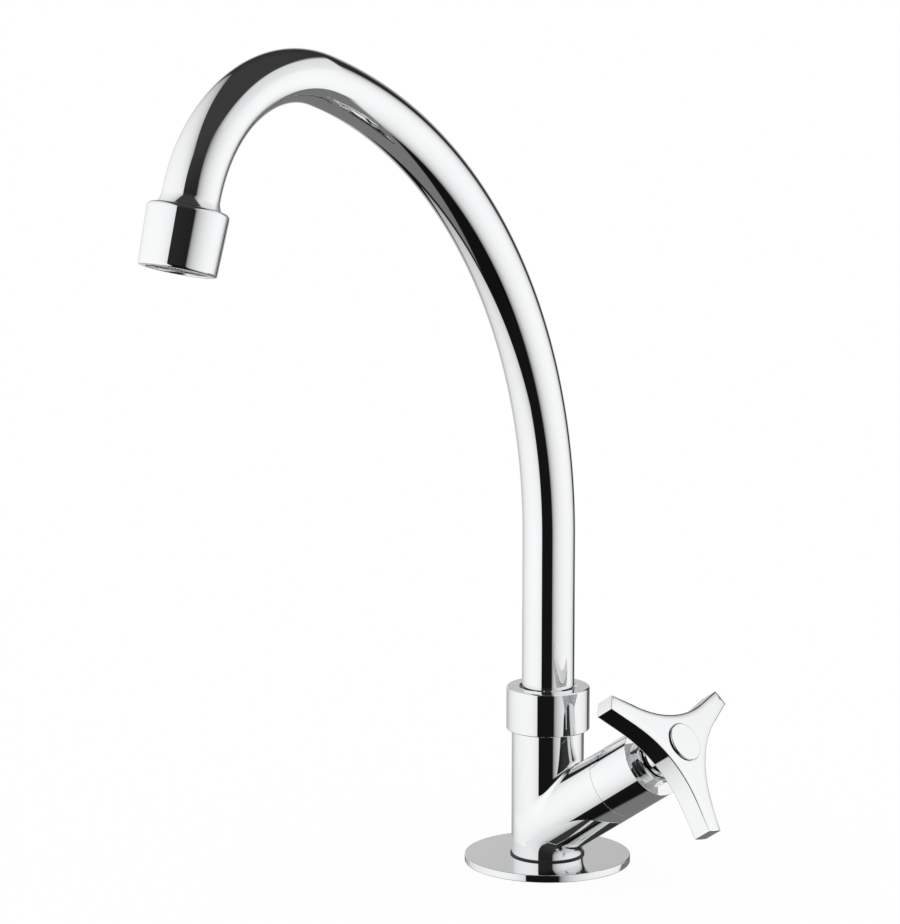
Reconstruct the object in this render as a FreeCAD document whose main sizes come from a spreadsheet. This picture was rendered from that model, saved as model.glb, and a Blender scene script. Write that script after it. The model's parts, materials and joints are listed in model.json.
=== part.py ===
"""Kitchen tap: a swan-neck spout that swivels on a Y-shaped body, opened by a three-armed handle.

The origin is the centre of the base plate's underside, where the tap meets the worktop. +Z points
up, the spout at rest reaches out along -Y, and the valve branch rises along +X. All sizes are in
millimetres.
"""
import FreeCAD, Part
import math
import os
import re
import Sketcher

doc = FreeCAD.newDocument("kitchen_tap")

# Driving sizes. Lengths along the valve branch are measured outwards from the point where its axis
# meets the axis of the body. Lengths at the outlet are measured from the end of the spout tube.
SIZES = {
    # Base plate and the seals that lie on either side of it
    "plate_radius": 30.2,
    "plate_thick": 2.7,
    "plate_edge_chamfer": 0.3,
    "plate_hole_gap": 0.3,
    "gasket_outer_radius": 26.0,
    "gasket_band": 6.0,
    "gasket_thick": 1.4,
    "foot_seal_proud": 0.45,
    "foot_seal_thick": 0.5,
    # Threaded shank that goes down through the worktop, with its washers and nut
    "shank_radius": 10.4775,
    "shank_below": 56.0,
    "shank_grip": 6.5,
    "shank_chamfer": 0.8,
    "shank_bore_radius": 6.0,
    "relief_radius": 9.6,
    "relief_gap": 0.5,
    "relief_length": 2.0,
    "worktop_thick": 25.0,
    "clamp_radius": 21.0,
    "clamp_hole_gap": 0.4,
    "clamp_rubber_thick": 3.0,
    "clamp_washer_thick": 2.0,
    "lock_nut_flats": 27.0,
    "lock_nut_height": 8.0,
    # Body
    "body_radius": 13.1,
    "body_top": 49.6,
    "collar_thread_radius": 12.4,
    "neck_height": 8.8,
    "inlet_top": 17.0,
    "bore_floor": 28.0,
    "spigot_radius": 9.9,
    "flange_radius": 11.0,
    "flange_thick": 3.0,
    "flange_gap": 0.2,
    "slip_ring_thick": 1.0,
    "outlet_hole_radius": 3.5,
    "outlet_hole_height": 31.0,
    "outlet_hole_reach": 15.0,
    # Collar nut that holds the spout down
    "collar_radius": 15.1,
    "collar_height": 15.8,
    "collar_bottom_chamfer": 0.3,
    "collar_top_chamfer": 0.4,
    "collar_hole_chamfer": 0.9,
    # Clearances of what turns: all round the spigot and stem, and between their faces
    "running_gap": 0.05,
    "tube_gap": 0.2,
    "seal_gap": 0.02,
    # Valve branch
    "branch_rise": 33.8,
    "branch_height": 13.15,
    "branch_radius": 13.15,
    "branch_start": 2.5,
    "branch_end": 38.0,
    "valve_way_radius": 5.0,
    "valve_seat": 16.0,
    "valve_room_radius": 10.0,
    "headwork_thread_radius": 10.3,
    "headwork_thread_length": 5.0,
    # Sleeve over the headwork, and the nut that holds it
    "sleeve_end": 56.6,
    "sleeve_wall": 1.25,
    "sleeve_end_wall": 2.0,
    "sleeve_edge_chamfer": 0.25,
    "neck_nut_radius": 9.0,
    "neck_nut_proud": 2.4,
    "neck_nut_skirt_radius": 8.0,
    "neck_nut_skirt": 5.0,
    "neck_nut_lip": 0.6,
    "neck_nut_chamfer": 0.5,
    # Headwork: the quarter-turn ceramic valve
    "housing_radius": 9.0,
    "housing_start": 17.5,
    "housing_bore_radius": 7.4,
    "housing_flange_radius": 11.6,
    "housing_flange_thick": 2.0,
    "housing_hex_flats": 20.0,
    "housing_hex_height": 6.0,
    "housing_neck_radius": 6.9,
    "housing_neck_end": 57.4,
    "window_start": 21.3,
    "window_length": 5.0,
    "window_angle": 70.0,
    "gasket_ring_thick": 1.0,
    "lip_seal_length": 2.6,
    "lip_seal_band": 2.1,
    "disc_radius": 7.3,
    "disc_thick": 2.5,
    "port_inner_radius": 1.6,
    "port_outer_radius": 5.4,
    "port_angle": 76.0,
    "driver_thick": 3.0,
    "thrust_washer_thick": 0.8,
    "stem_radius": 5.0,
    "stem_ring_place": 47.0,
    "stem_ring_pitch": 4.0,
    "stem_groove_depth": 1.3,
    "circlip_thick": 0.8,
    "circlip_groove_depth": 0.6,
    "circlip_band": 1.9,
    "spline_tip_radius": 4.0,
    "spline_root_radius": 3.6,
    "spline_teeth": 20,
    "spline_tooth_share": 0.83,
    "spline_sink": 0.1,
    "spline_end": 66.5,
    "spline_gap": 0.05,
    "ring_groove_length": 2.4,
    # Handle with its screw and cap
    "hub_radius": 7.5,
    "hub_start": 59.5,
    "hub_chamfer": 0.4,
    "handle_back": 65.0,
    "handle_front": 73.5,
    "handle_crown_radius": 1100.0,
    "handle_tip_radius": 34.0,
    "handle_tip_width": 6.0,
    "handle_waist_radius": 11.0,
    "handle_taper": 5.4,
    "handle_arms": 3,
    "handle_rest_turn": -10.0,
    "cut_margin": 1.0,
    "socket_depth": 7.6,
    "screw_seat": 69.0,
    "screw_radius": 2.0,
    "screw_hole_gap": 0.2,
    "screw_length": 9.0,
    "screw_head_radius": 3.5,
    "screw_head_height": 2.2,
    "screw_key_flats": 2.5,
    "screw_key_depth": 1.4,
    "cap_radius": 7.1,
    "cap_groove": 0.15,
    "cap_seat": 72.6,
    "cap_proud": 1.0,
    "cap_edge_round": 0.5,
    "cap_plug_radius": 4.35,
    "cap_plug_length": 0.9,
    # Spout
    "tube_radius": 9.5,
    "tube_wall": 1.0,
    "rise_height": 120.6,
    "rise_bend_radius": 181.15,
    "rise_bend_turn": 71.4,
    "crook_bend_radius": 49.4,
    "outlet_turn": 163.4,
    "outlet_run": 0.5,
    "spigot_bottom": 34.0,
    "spigot_stub": 12.0,
    "spigot_bore_radius": 6.5,
    "spigot_groove_depth": 1.7,
    "spigot_ring_place": 38.0,
    "spigot_ring_pitch": 7.0,
    # Outlet bush and aerator
    "bush_plug_length": 12.0,
    "bush_bore_radius": 6.5,
    "bush_flare_radius": 10.75,
    "bush_flare_length": 3.4,
    "aerator_thread_radius": 11.0,
    "aerator_thread_length": 7.0,
    "aerator_top_radius": 13.45,
    "aerator_mouth_radius": 12.9,
    "aerator_end": 24.0,
    "aerator_top_chamfer": 1.2,
    "aerator_mouth_chamfer": 0.6,
    "aerator_lip_radius": 10.2,
    "aerator_lip_thick": 1.2,
    "aerator_gasket_thick": 2.0,
    "aerator_gasket_hole_radius": 8.0,
    "sieve_thick": 0.8,
    "insert_wall": 1.4,
    "insert_gap": 0.1,
    "spreader_thick": 1.2,
    "spreader_hole_radius": 0.7,
    "spreader_hole_place": 5.5,
    "spreader_holes": 12,
    "mesh_thick": 0.6,
}

sheet = doc.addObject("Spreadsheet::Sheet", "sizes")
for row, (alias, size) in enumerate(SIZES.items(), start=1):
    sheet.set("A%d" % row, alias)
    sheet.set("B%d" % row, str(size))
    sheet.setAlias("B%d" % row, alias)
doc.recompute()

pieces = []


def bound(text):
    """Turn a rule written with size names into an expression on the sheet's cells."""
    return re.sub(r"[a-z]\w*_\w+", lambda word: "sizes." + word.group(0), text)


def measure(text):
    """Work out the present value of a rule written with size names."""
    value = sheet.evalExpression(bound(text))
    return float(getattr(value, "Value", value))


def piece(obj, name):
    """Count an object as a finished sub-part under its own name."""
    obj.Label = name
    pieces.append(obj)
    return obj


def origin_plane(body, role):
    """Find one of a body's own origin planes."""
    return next(item for item in body.Origin.OriginFeatures if item.Role == role)


def sketch_on(body, name, plane, lift="0"):
    """Attach a sketch to an origin plane of the body, raised along its normal."""
    sketch = body.newObject("Sketcher::SketchObject", name)
    sketch.AttachmentSupport = [(origin_plane(body, plane), "")]
    sketch.MapMode = "FlatFace"
    if lift != "0":
        sketch.setExpression(".AttachmentOffset.Base.z", bound(lift))
    return sketch


def pin(sketch, edge, point, across, up):
    """Fix one point of a sketch by its two distances from the origin."""
    for kind, axis, rule in (("DistanceX", -2, across), ("DistanceY", -1, up)):
        if rule == "0":
            sketch.addConstraint(Sketcher.Constraint("PointOnObject", edge, point, axis))
            continue
        number = sketch.addConstraint(
            Sketcher.Constraint(kind, -1, 1, edge, point, measure(rule)))
        sketch.setExpression("Constraints[%d]" % number, bound(rule))


def set_size(sketch, rule, *constraint):
    """Add a constraint whose value follows the sheet, such as a radius or an angle."""
    number = sketch.addConstraint(Sketcher.Constraint(*constraint))
    sketch.setExpression("Constraints[%d]" % number, rule)


def outline(body, name, corners, plane="XZ_Plane"):
    """Draw a closed outline through (radius, height) corners."""
    sketch = sketch_on(body, name, plane)
    points = [FreeCAD.Vector(measure(across), measure(up), 0) for across, up in corners]
    for start, end in zip(points, points[1:] + points[:1]):
        sketch.addGeometry(Part.LineSegment(start, end))
    for edge, (across, up) in enumerate(corners):
        following = (edge + 1) % len(corners)
        sketch.addConstraint(Sketcher.Constraint("Coincident", edge, 2, following, 1))
        pin(sketch, edge, 1, across, up)
    return sketch


def band(inner, outer, bottom, top):
    """Corners of a plain ring's section, or of a rod's when the inner radius is 0."""
    return [(inner, bottom), (outer, bottom), (outer, top), (inner, top)]


def turn(body, kind, name, sketch, angle="360"):
    """Revolve a sketch about its own upright axis, as a Revolution or a Groove."""
    feature = body.newObject("PartDesign::" + kind, name)
    feature.Profile = sketch
    feature.ReferenceAxis = (sketch, ["V_Axis"])
    if angle == "360":
        feature.Angle = 360
    else:
        feature.Midplane = True
        feature.setExpression("Angle", bound(angle))
    return feature


def cut_must_bite(body, before, name):
    """Stop where a cut left the solid as it was."""
    doc.recompute()
    if body.Tip.Shape.Volume > before - 0.01:
        raise RuntimeError(name + " cuts nothing")


def bore(body, name, corners, angle="360", plane="XZ_Plane"):
    """Cut a turned space out of a body."""
    doc.recompute()
    before = body.Tip.Shape.Volume
    sketch = outline(body, name + "_outline", corners, plane)
    groove = turn(body, "Groove", name, sketch, angle)
    cut_must_bite(body, before, name)
    return groove


def pattern(body, feature, name, count):
    """Repeat a feature evenly about the body's Z axis."""
    polar = body.newObject("PartDesign::PolarPattern", name)
    polar.Originals = [feature]
    z_axis = next(item for item in body.Origin.OriginFeatures if item.Role == "Z_Axis")
    polar.Axis = (z_axis, [""])
    polar.Angle = 360
    if count.isdigit():
        polar.Occurrences = int(count)
    else:
        polar.setExpression("Occurrences", bound(count))
    body.Tip = polar
    doc.recompute()
    return polar


def turned(name, corners):
    """Make a piece by turning one closed outline."""
    body = piece(doc.addObject("PartDesign::Body", name), name)
    turn(body, "Revolution", name + "_turned", outline(body, name + "_outline", corners))
    return body


def circle_pocket(body, name, plane, radius, across, up, lift, depth, reverse):
    """Drill a round hole from a lifted plane."""
    doc.recompute()
    before = body.Tip.Shape.Volume
    sketch = sketch_on(body, name + "_circle", plane, lift)
    centre = FreeCAD.Vector(measure(across), measure(up), 0)
    sketch.addGeometry(Part.Circle(centre, FreeCAD.Vector(0, 0, 1), measure(radius)))
    pin(sketch, 0, 3, across, up)
    set_size(sketch, bound(radius), "Radius", 0, measure(radius))
    pocket = body.newObject("PartDesign::Pocket", name)
    pocket.Profile = sketch
    pocket.Reversed = reverse
    pocket.setExpression("Length", bound(depth))
    cut_must_bite(body, before, name)
    return pocket


def on_branch(obj):
    """Lay a piece that was made about the Z axis along the valve branch."""
    obj.Placement = FreeCAD.Placement(
        FreeCAD.Vector(0, 0, 1), FreeCAD.Rotation(FreeCAD.Vector(0, 1, 0), 45))
    obj.setExpression(".Placement.Base.z", bound("branch_height"))
    obj.setExpression(".Placement.Rotation.Angle", bound("90 - branch_rise"))
    return obj


# Places that more than one piece shares
CROOK_TURN = "(outlet_turn - rise_bend_turn)"
RISE = "rise_bend_turn * 1 deg"
OUTLET = "outlet_turn * 1 deg"
BEND_STEP = "(rise_bend_radius - crook_bend_radius)"
TUBE_END_REACH = ("rise_bend_radius - %s * cos(%s) - crook_bend_radius * cos(%s)"
                  " + outlet_run * sin(%s)" % (BEND_STEP, RISE, OUTLET, OUTLET))
TUBE_END_HEIGHT = ("rise_height + %s * sin(%s) + crook_bend_radius * sin(%s)"
                   " + outlet_run * cos(%s)" % (BEND_STEP, RISE, OUTLET, OUTLET))


def at_outlet(obj):
    """Put a piece that was made about the Z axis at the tube's end, pointing out of it."""
    obj.Placement = FreeCAD.Placement(
        FreeCAD.Vector(0, 1, 1), FreeCAD.Rotation(FreeCAD.Vector(1, 0, 0), 45))
    obj.setExpression(".Placement.Base.y", bound("-(%s)" % TUBE_END_REACH))
    obj.setExpression(".Placement.Base.z", bound(TUBE_END_HEIGHT))
    obj.setExpression(".Placement.Rotation.Angle", bound("outlet_turn"))
    return obj


def o_rings(name, groove_bottom, outside, first, pitch):
    """Make a pair of equal sealing rings, each filling its groove's depth."""
    rings = []
    for number in range(2):
        ring = doc.addObject("Part::Torus", "%s_%d" % (name, number + 1))
        ring.setExpression("Radius1", bound("(%s + %s) / 2" % (outside, groove_bottom)))
        ring.setExpression("Radius2", bound("(%s - (%s)) / 2" % (outside, groove_bottom)))
        middle = "%s + ring_groove_length / 2 + %d * %s" % (first, number, pitch)
        ring.setExpression(".Placement.Base.z", bound(middle))
        rings.append(ring)
    pair = doc.addObject("Part::Compound", name)
    pair.Links = rings
    return piece(pair, name)


# Base plate, resting on the worktop, with a gasket squeezed flush into its underside
PLATE_HOLE = "(shank_radius + plate_hole_gap)"
base_plate = turned("base_plate", [
    (PLATE_HOLE, "0"),
    ("plate_radius", "0"),
    ("plate_radius", "plate_thick - plate_edge_chamfer"),
    ("plate_radius - plate_edge_chamfer", "plate_thick"),
    (PLATE_HOLE, "plate_thick"),
])
GASKET_INNER = "(gasket_outer_radius - gasket_band)"
bore(base_plate, "gasket_groove", band(GASKET_INNER, "gasket_outer_radius", "0", "gasket_thick"))
turned("base_gasket", band(GASKET_INNER, "gasket_outer_radius", "0", "gasket_thick"))

# Thin rubber seal that shows as a dark line between the plate and the foot of the body
FOOT = "(plate_thick + foot_seal_thick)"
turned("foot_seal", band(PLATE_HOLE, "body_radius + foot_seal_proud", "plate_thick", FOOT))

# Threaded shank, screwed into the foot of the body and going down through the worktop. A relief
# groove under the lock nut parts its thread from the thread that the supply nut takes.
SHANK_TOP = "(%s + shank_grip)" % FOOT
CLAMP_HOLE = "(shank_radius + clamp_hole_gap)"
RUBBER_FACE = "(worktop_thick + clamp_rubber_thick)"
NUT_FACE = "(%s + clamp_washer_thick)" % RUBBER_FACE
RELIEF_TOP = "(%s + lock_nut_height + relief_gap)" % NUT_FACE
RELIEF_END = "(%s + relief_length)" % RELIEF_TOP
turned("inlet_shank", [
    ("shank_bore_radius", "-shank_below"),
    ("shank_radius - shank_chamfer", "-shank_below"),
    ("shank_radius", "shank_chamfer - shank_below"),
    ("shank_radius", "-%s" % RELIEF_END),
    ("relief_radius", "-%s" % RELIEF_END),
    ("relief_radius", "-%s" % RELIEF_TOP),
    ("shank_radius", "-%s" % RELIEF_TOP),
    ("shank_radius", SHANK_TOP),
    ("shank_bore_radius", SHANK_TOP),
])

# Clamping set under the worktop: rubber washer, steel washer and hexagon nut
turned("clamp_rubber", band(CLAMP_HOLE, "clamp_radius", "-%s" % RUBBER_FACE, "-worktop_thick"))
turned("clamp_washer", band(CLAMP_HOLE, "clamp_radius", "-%s" % NUT_FACE, "-%s" % RUBBER_FACE))

nut_blank = doc.addObject("Part::Prism", "lock_nut_blank")
nut_blank.Polygon = 6
nut_blank.setExpression("Circumradius", bound("lock_nut_flats / 2 / cos(30 deg)"))
nut_blank.setExpression("Height", bound("lock_nut_height"))
nut_blank.setExpression(".Placement.Base.z", bound("-(%s + lock_nut_height)" % NUT_FACE))
nut_hole = doc.addObject("Part::Cylinder", "lock_nut_hole")
nut_hole.setExpression("Radius", bound("shank_radius"))
nut_hole.setExpression("Height", bound("lock_nut_height"))
nut_hole.setExpression(".Placement.Base.z", bound("-(%s + lock_nut_height)" % NUT_FACE))
lock_nut = piece(doc.addObject("Part::Cut", "lock_nut"), "lock_nut")
lock_nut.Base = nut_blank
lock_nut.Tool = nut_hole

# Body: an upright barrel with the valve branch growing out of its side, cast in one
NECK_TOP = "(body_top + neck_height)"
RING_SHELF = "(%s - flange_thick - slip_ring_thick - running_gap)" % NECK_TOP
tap_body = turned("tap_body", [
    ("0", FOOT),
    ("body_radius", FOOT),
    ("body_radius", "body_top"),
    ("collar_thread_radius", "body_top"),
    ("collar_thread_radius", NECK_TOP),
    ("0", NECK_TOP),
])


def branch_feature(kind, name, corners):
    """Add or cut a turned form about the axis of the valve branch."""
    doc.recompute()
    before = tap_body.Tip.Shape.Volume
    sketch = outline(tap_body, name + "_outline", corners)
    sketch.AttachmentOffset = FreeCAD.Placement(
        FreeCAD.Vector(0, 1, 0), FreeCAD.Rotation(FreeCAD.Vector(0, 0, -1), 45))
    sketch.setExpression(".AttachmentOffset.Base.y", bound("branch_height"))
    sketch.setExpression(".AttachmentOffset.Rotation.Angle", bound("90 - branch_rise"))
    feature = turn(tap_body, kind, name, sketch)
    doc.recompute()
    change = tap_body.Tip.Shape.Volume - before
    if (change < 0.01) if kind == "Revolution" else (change > -0.01):
        raise RuntimeError(name + " changes nothing")
    return feature


THREAD_START = "(branch_end - headwork_thread_length)"
branch_feature("Revolution", "branch", band("0", "branch_radius", "branch_start", "branch_end"))
bore(tap_body, "spout_bore", [
    ("0", "bore_floor"),
    ("spigot_radius + running_gap", "bore_floor"),
    ("spigot_radius + running_gap", RING_SHELF),
    ("flange_radius + flange_gap", RING_SHELF),
    ("flange_radius + flange_gap", NECK_TOP),
    ("0", NECK_TOP),
])
bore(tap_body, "inlet_bore", [
    ("0", FOOT),
    ("shank_radius", FOOT),
    ("shank_radius", SHANK_TOP),
    ("shank_bore_radius", SHANK_TOP),
    ("shank_bore_radius", "inlet_top"),
    ("0", "inlet_top"),
])
branch_feature("Groove", "valve_way", band("0", "valve_way_radius", "0", "valve_seat"))
branch_feature("Groove", "valve_room", [
    ("0", "valve_seat"),
    ("valve_room_radius", "valve_seat"),
    ("valve_room_radius", THREAD_START),
    ("headwork_thread_radius", THREAD_START),
    ("headwork_thread_radius", "branch_end"),
    ("0", "branch_end"),
])
circle_pocket(tap_body, "outlet_way", "YZ_Plane", "outlet_hole_radius", "0",
              "outlet_hole_height", "0", "outlet_hole_reach", True)

# Slip rings: plastic washers below and above the spigot's flange
RING_INNER = "(tube_radius + running_gap * 2)"
FLANGE_BOTTOM = "(%s + slip_ring_thick + running_gap)" % RING_SHELF
FLANGE_TOP = "(%s + flange_thick)" % FLANGE_BOTTOM
UPPER_RING = "(%s + running_gap)" % FLANGE_TOP
COLLAR_SHELF = "(%s + slip_ring_thick)" % UPPER_RING
COLLAR_TOP = "(body_top + collar_height)"
turned("lower_slip_ring", band("spigot_radius + running_gap", "flange_radius + flange_gap",
                               RING_SHELF, "%s + slip_ring_thick" % RING_SHELF))
turned("upper_slip_ring", band(RING_INNER, "collar_thread_radius", UPPER_RING, COLLAR_SHELF))

# Collar nut: screwed on the body's neck, it keeps the flange of the spout's spigot down
turned("collar_nut", [
    ("collar_thread_radius", "body_top"),
    ("collar_radius - collar_bottom_chamfer", "body_top"),
    ("collar_radius", "body_top + collar_bottom_chamfer"),
    ("collar_radius", "%s - collar_top_chamfer" % COLLAR_TOP),
    ("collar_radius - collar_top_chamfer", COLLAR_TOP),
    ("tube_radius + tube_gap + collar_hole_chamfer", COLLAR_TOP),
    ("tube_radius + tube_gap", "%s - collar_hole_chamfer" % COLLAR_TOP),
    ("tube_radius + tube_gap", COLLAR_SHELF),
    ("collar_thread_radius", COLLAR_SHELF),
])

# Spigot: the brass foot that is soldered into the spout tube and turns in the body
GROOVE_BOTTOM = "(spigot_radius - spigot_groove_depth)"
spout_spigot = turned("spout_spigot", [
    ("spigot_bore_radius", "spigot_bottom"),
    ("spigot_radius", "spigot_bottom"),
    ("spigot_radius", FLANGE_BOTTOM),
    ("flange_radius", FLANGE_BOTTOM),
    ("flange_radius", FLANGE_TOP),
    ("tube_radius - tube_wall", FLANGE_TOP),
    ("tube_radius - tube_wall", "%s + spigot_stub" % FLANGE_TOP),
    ("spigot_bore_radius", "%s + spigot_stub" % FLANGE_TOP),
])
for number in range(2):
    place = "spigot_ring_place + %d * spigot_ring_pitch" % number
    bore(spout_spigot, "seal_groove_%d" % (number + 1),
         band(GROOVE_BOTTOM, "spigot_radius", place, place + " + ring_groove_length"))
o_rings("spigot_o_rings", GROOVE_BOTTOM, "(spigot_radius + running_gap - seal_gap)",
        "spigot_ring_place", "spigot_ring_pitch")

# Spout tube: straight up, over a wide bend, round the crook and down to the outlet
spout_tube = piece(doc.addObject("PartDesign::Body", "spout_tube"), "spout_tube")
path = sketch_on(spout_tube, "tube_path", "YZ_Plane")
start_height = measure(FLANGE_TOP)
rise_height = measure("rise_height")
rise_turn = math.radians(measure("rise_bend_turn"))
full_turn = math.radians(measure("outlet_turn"))
wide_radius = measure("rise_bend_radius")
crook_radius = measure("crook_bend_radius")
wide_centre = FreeCAD.Vector(-wide_radius, rise_height, 0)
step = wide_radius - crook_radius
crook_centre = wide_centre + FreeCAD.Vector(
    step * math.cos(rise_turn), step * math.sin(rise_turn), 0)
crook_end = crook_centre + FreeCAD.Vector(
    crook_radius * math.cos(full_turn), crook_radius * math.sin(full_turn), 0)
run = measure("outlet_run")
tube_end = crook_end + FreeCAD.Vector(-run * math.sin(full_turn), run * math.cos(full_turn), 0)
normal = FreeCAD.Vector(0, 0, 1)
path.addGeometry(Part.LineSegment(
    FreeCAD.Vector(0, start_height, 0), FreeCAD.Vector(0, rise_height, 0)))
path.addGeometry(Part.ArcOfCircle(Part.Circle(wide_centre, normal, wide_radius), 0, rise_turn))
path.addGeometry(Part.ArcOfCircle(
    Part.Circle(crook_centre, normal, crook_radius), rise_turn, full_turn))
path.addGeometry(Part.LineSegment(crook_end, tube_end))
pin(path, 0, 1, "0", FLANGE_TOP)
pin(path, 0, 2, "0", "rise_height")
path.addConstraint(Sketcher.Constraint("Tangent", 0, 2, 1, 1))
path.addConstraint(Sketcher.Constraint("Tangent", 1, 2, 2, 1))
path.addConstraint(Sketcher.Constraint("Tangent", 2, 2, 3, 1))
set_size(path, bound("rise_bend_radius"), "Radius", 1, wide_radius)
set_size(path, bound("crook_bend_radius"), "Radius", 2, crook_radius)
set_size(path, bound("rise_bend_turn * 1 deg"), "Angle", 1, rise_turn)
set_size(path, bound("%s * 1 deg" % CROOK_TURN), "Angle", 2, full_turn - rise_turn)
set_size(path, bound("outlet_run"), "Distance", 3, run)

section = sketch_on(spout_tube, "tube_section", "XY_Plane", FLANGE_TOP)
for edge, rule in enumerate(("tube_radius", "tube_radius - tube_wall")):
    section.addGeometry(Part.Circle(FreeCAD.Vector(0, 0, 0), normal, measure(rule)))
    section.addConstraint(Sketcher.Constraint("Coincident", edge, 3, -1, 1))
    set_size(section, bound(rule), "Radius", edge, measure(rule))
doc.recompute()
pipe = spout_tube.newObject("PartDesign::AdditivePipe", "tube_sweep")
pipe.Profile = section
pipe.Spine = (path, ["Edge1", "Edge2", "Edge3", "Edge4"])
doc.recompute()

# Outlet bush, soldered into the tube's end: it carries the thread for the aerator
THREAD_END = "(bush_flare_length + aerator_thread_length)"
at_outlet(turned("outlet_bush", [
    ("bush_bore_radius", "-bush_plug_length"),
    ("tube_radius - tube_wall", "-bush_plug_length"),
    ("tube_radius - tube_wall", "0"),
    ("tube_radius", "0"),
    ("bush_flare_radius", "bush_flare_length"),
    ("aerator_thread_radius", "bush_flare_length"),
    ("aerator_thread_radius", THREAD_END),
    ("bush_bore_radius", THREAD_END),
]))

# Aerator: a chromed cup holding a rubber gasket, a sieve, a slotted insert and a mesh
GASKET_END = "(%s + aerator_gasket_thick)" % THREAD_END
SIEVE_END = "(%s + sieve_thick)" % GASKET_END
LIP_FACE = "(aerator_end - aerator_lip_thick)"
INSERT_END = "(%s - insert_gap)" % LIP_FACE
at_outlet(turned("aerator_housing", [
    ("aerator_thread_radius", "bush_flare_length"),
    ("aerator_top_radius - aerator_top_chamfer", "bush_flare_length"),
    ("aerator_top_radius", "bush_flare_length + aerator_top_chamfer"),
    ("aerator_mouth_radius", "aerator_end - aerator_mouth_chamfer"),
    ("aerator_mouth_radius - aerator_mouth_chamfer", "aerator_end"),
    ("aerator_lip_radius", "aerator_end"),
    ("aerator_lip_radius", LIP_FACE),
    ("aerator_thread_radius", LIP_FACE),
]))
at_outlet(turned("aerator_gasket", band("aerator_gasket_hole_radius", "aerator_thread_radius",
                                        THREAD_END, GASKET_END)))
at_outlet(turned("aerator_sieve", band("0", "aerator_thread_radius - insert_gap",
                                       GASKET_END, SIEVE_END)))
INSERT_BORE = "(aerator_thread_radius - insert_gap - insert_wall)"
aerator_insert = at_outlet(turned("aerator_insert", [
    ("0", SIEVE_END),
    ("aerator_thread_radius - insert_gap", SIEVE_END),
    ("aerator_thread_radius - insert_gap", INSERT_END),
    (INSERT_BORE, INSERT_END),
    (INSERT_BORE, "%s + spreader_thick" % SIEVE_END),
    ("0", "%s + spreader_thick" % SIEVE_END),
]))
hole = circle_pocket(aerator_insert, "spreader_hole", "XY_Plane", "spreader_hole_radius",
                     "spreader_hole_place", "0", SIEVE_END, "spreader_thick", True)
pattern(aerator_insert, hole, "spreader_hole_ring", "spreader_holes")
at_outlet(turned("aerator_mesh", band("0", INSERT_BORE, "%s - mesh_thick" % INSERT_END,
                                      INSERT_END)))

# Valve sleeve over the headwork, with a flat end wall, and the nut that holds it on
SLEEVE_BORE = "(branch_radius - sleeve_wall)"
SLEEVE_FACE = "(sleeve_end - sleeve_end_wall)"
on_branch(turned("valve_sleeve", [
    (SLEEVE_BORE, "branch_end"),
    ("branch_radius", "branch_end"),
    ("branch_radius", "sleeve_end - sleeve_edge_chamfer"),
    ("branch_radius - sleeve_edge_chamfer", "sleeve_end"),
    ("neck_nut_skirt_radius", "sleeve_end"),
    ("neck_nut_skirt_radius", SLEEVE_FACE),
    (SLEEVE_BORE, SLEEVE_FACE),
]))
NECK_NUT_TOP = "(sleeve_end + neck_nut_proud)"
STEM_HOLE = "(stem_radius + running_gap)"
NUT_LIP_FACE = "(%s - neck_nut_lip)" % NECK_NUT_TOP
on_branch(turned("neck_nut", [
    ("housing_neck_radius", "sleeve_end - neck_nut_skirt"),
    ("neck_nut_skirt_radius", "sleeve_end - neck_nut_skirt"),
    ("neck_nut_skirt_radius", "sleeve_end"),
    ("neck_nut_radius", "sleeve_end"),
    ("neck_nut_radius", "%s - neck_nut_chamfer" % NECK_NUT_TOP),
    ("neck_nut_radius - neck_nut_chamfer", NECK_NUT_TOP),
    ("stem_radius + tube_gap", NECK_NUT_TOP),
    ("stem_radius + tube_gap", NUT_LIP_FACE),
    ("housing_neck_radius", NUT_LIP_FACE),
]))

# Headwork housing: screwed into the branch, it holds the ceramic discs and guides the spindle
DISC_FACE = "(valve_seat + lip_seal_length)"
MOVING_FACE = "(%s + disc_thick + seal_gap)" % DISC_FACE
DRIVER_FACE = "(%s + disc_thick)" % MOVING_FACE
DRIVER_END = "(%s + driver_thick)" % DRIVER_FACE
WASHER_FACE = "(%s + running_gap)" % DRIVER_END
HOUSING_SHELF = "(%s + thrust_washer_thick)" % WASHER_FACE
FLANGE_START = "(branch_end + gasket_ring_thick)"
FLANGE_END = "(%s + housing_flange_thick)" % FLANGE_START
housing = on_branch(turned("headwork_housing", [
    ("housing_bore_radius", "housing_start"),
    ("housing_radius", "housing_start"),
    ("housing_radius", THREAD_START),
    ("headwork_thread_radius", THREAD_START),
    ("headwork_thread_radius", FLANGE_START),
    ("housing_flange_radius", FLANGE_START),
    ("housing_flange_radius", FLANGE_END),
    ("housing_neck_radius", FLANGE_END),
    ("housing_neck_radius", "housing_neck_end"),
    (STEM_HOLE, "housing_neck_end"),
    (STEM_HOLE, HOUSING_SHELF),
    ("housing_bore_radius", HOUSING_SHELF),
]))
hexagon = sketch_on(housing, "spanner_hexagon", "XY_Plane", FLANGE_END)
corner = measure("housing_hex_flats / 2 / cos(30 deg)")
corners = [FreeCAD.Vector(corner * math.cos(math.radians(60 * i)),
                          corner * math.sin(math.radians(60 * i)), 0) for i in range(6)]
for edge in range(6):
    hexagon.addGeometry(Part.LineSegment(corners[edge], corners[(edge + 1) % 6]))
hexagon.addGeometry(Part.Circle(FreeCAD.Vector(0, 0, 0), normal, measure(STEM_HOLE)))
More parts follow.
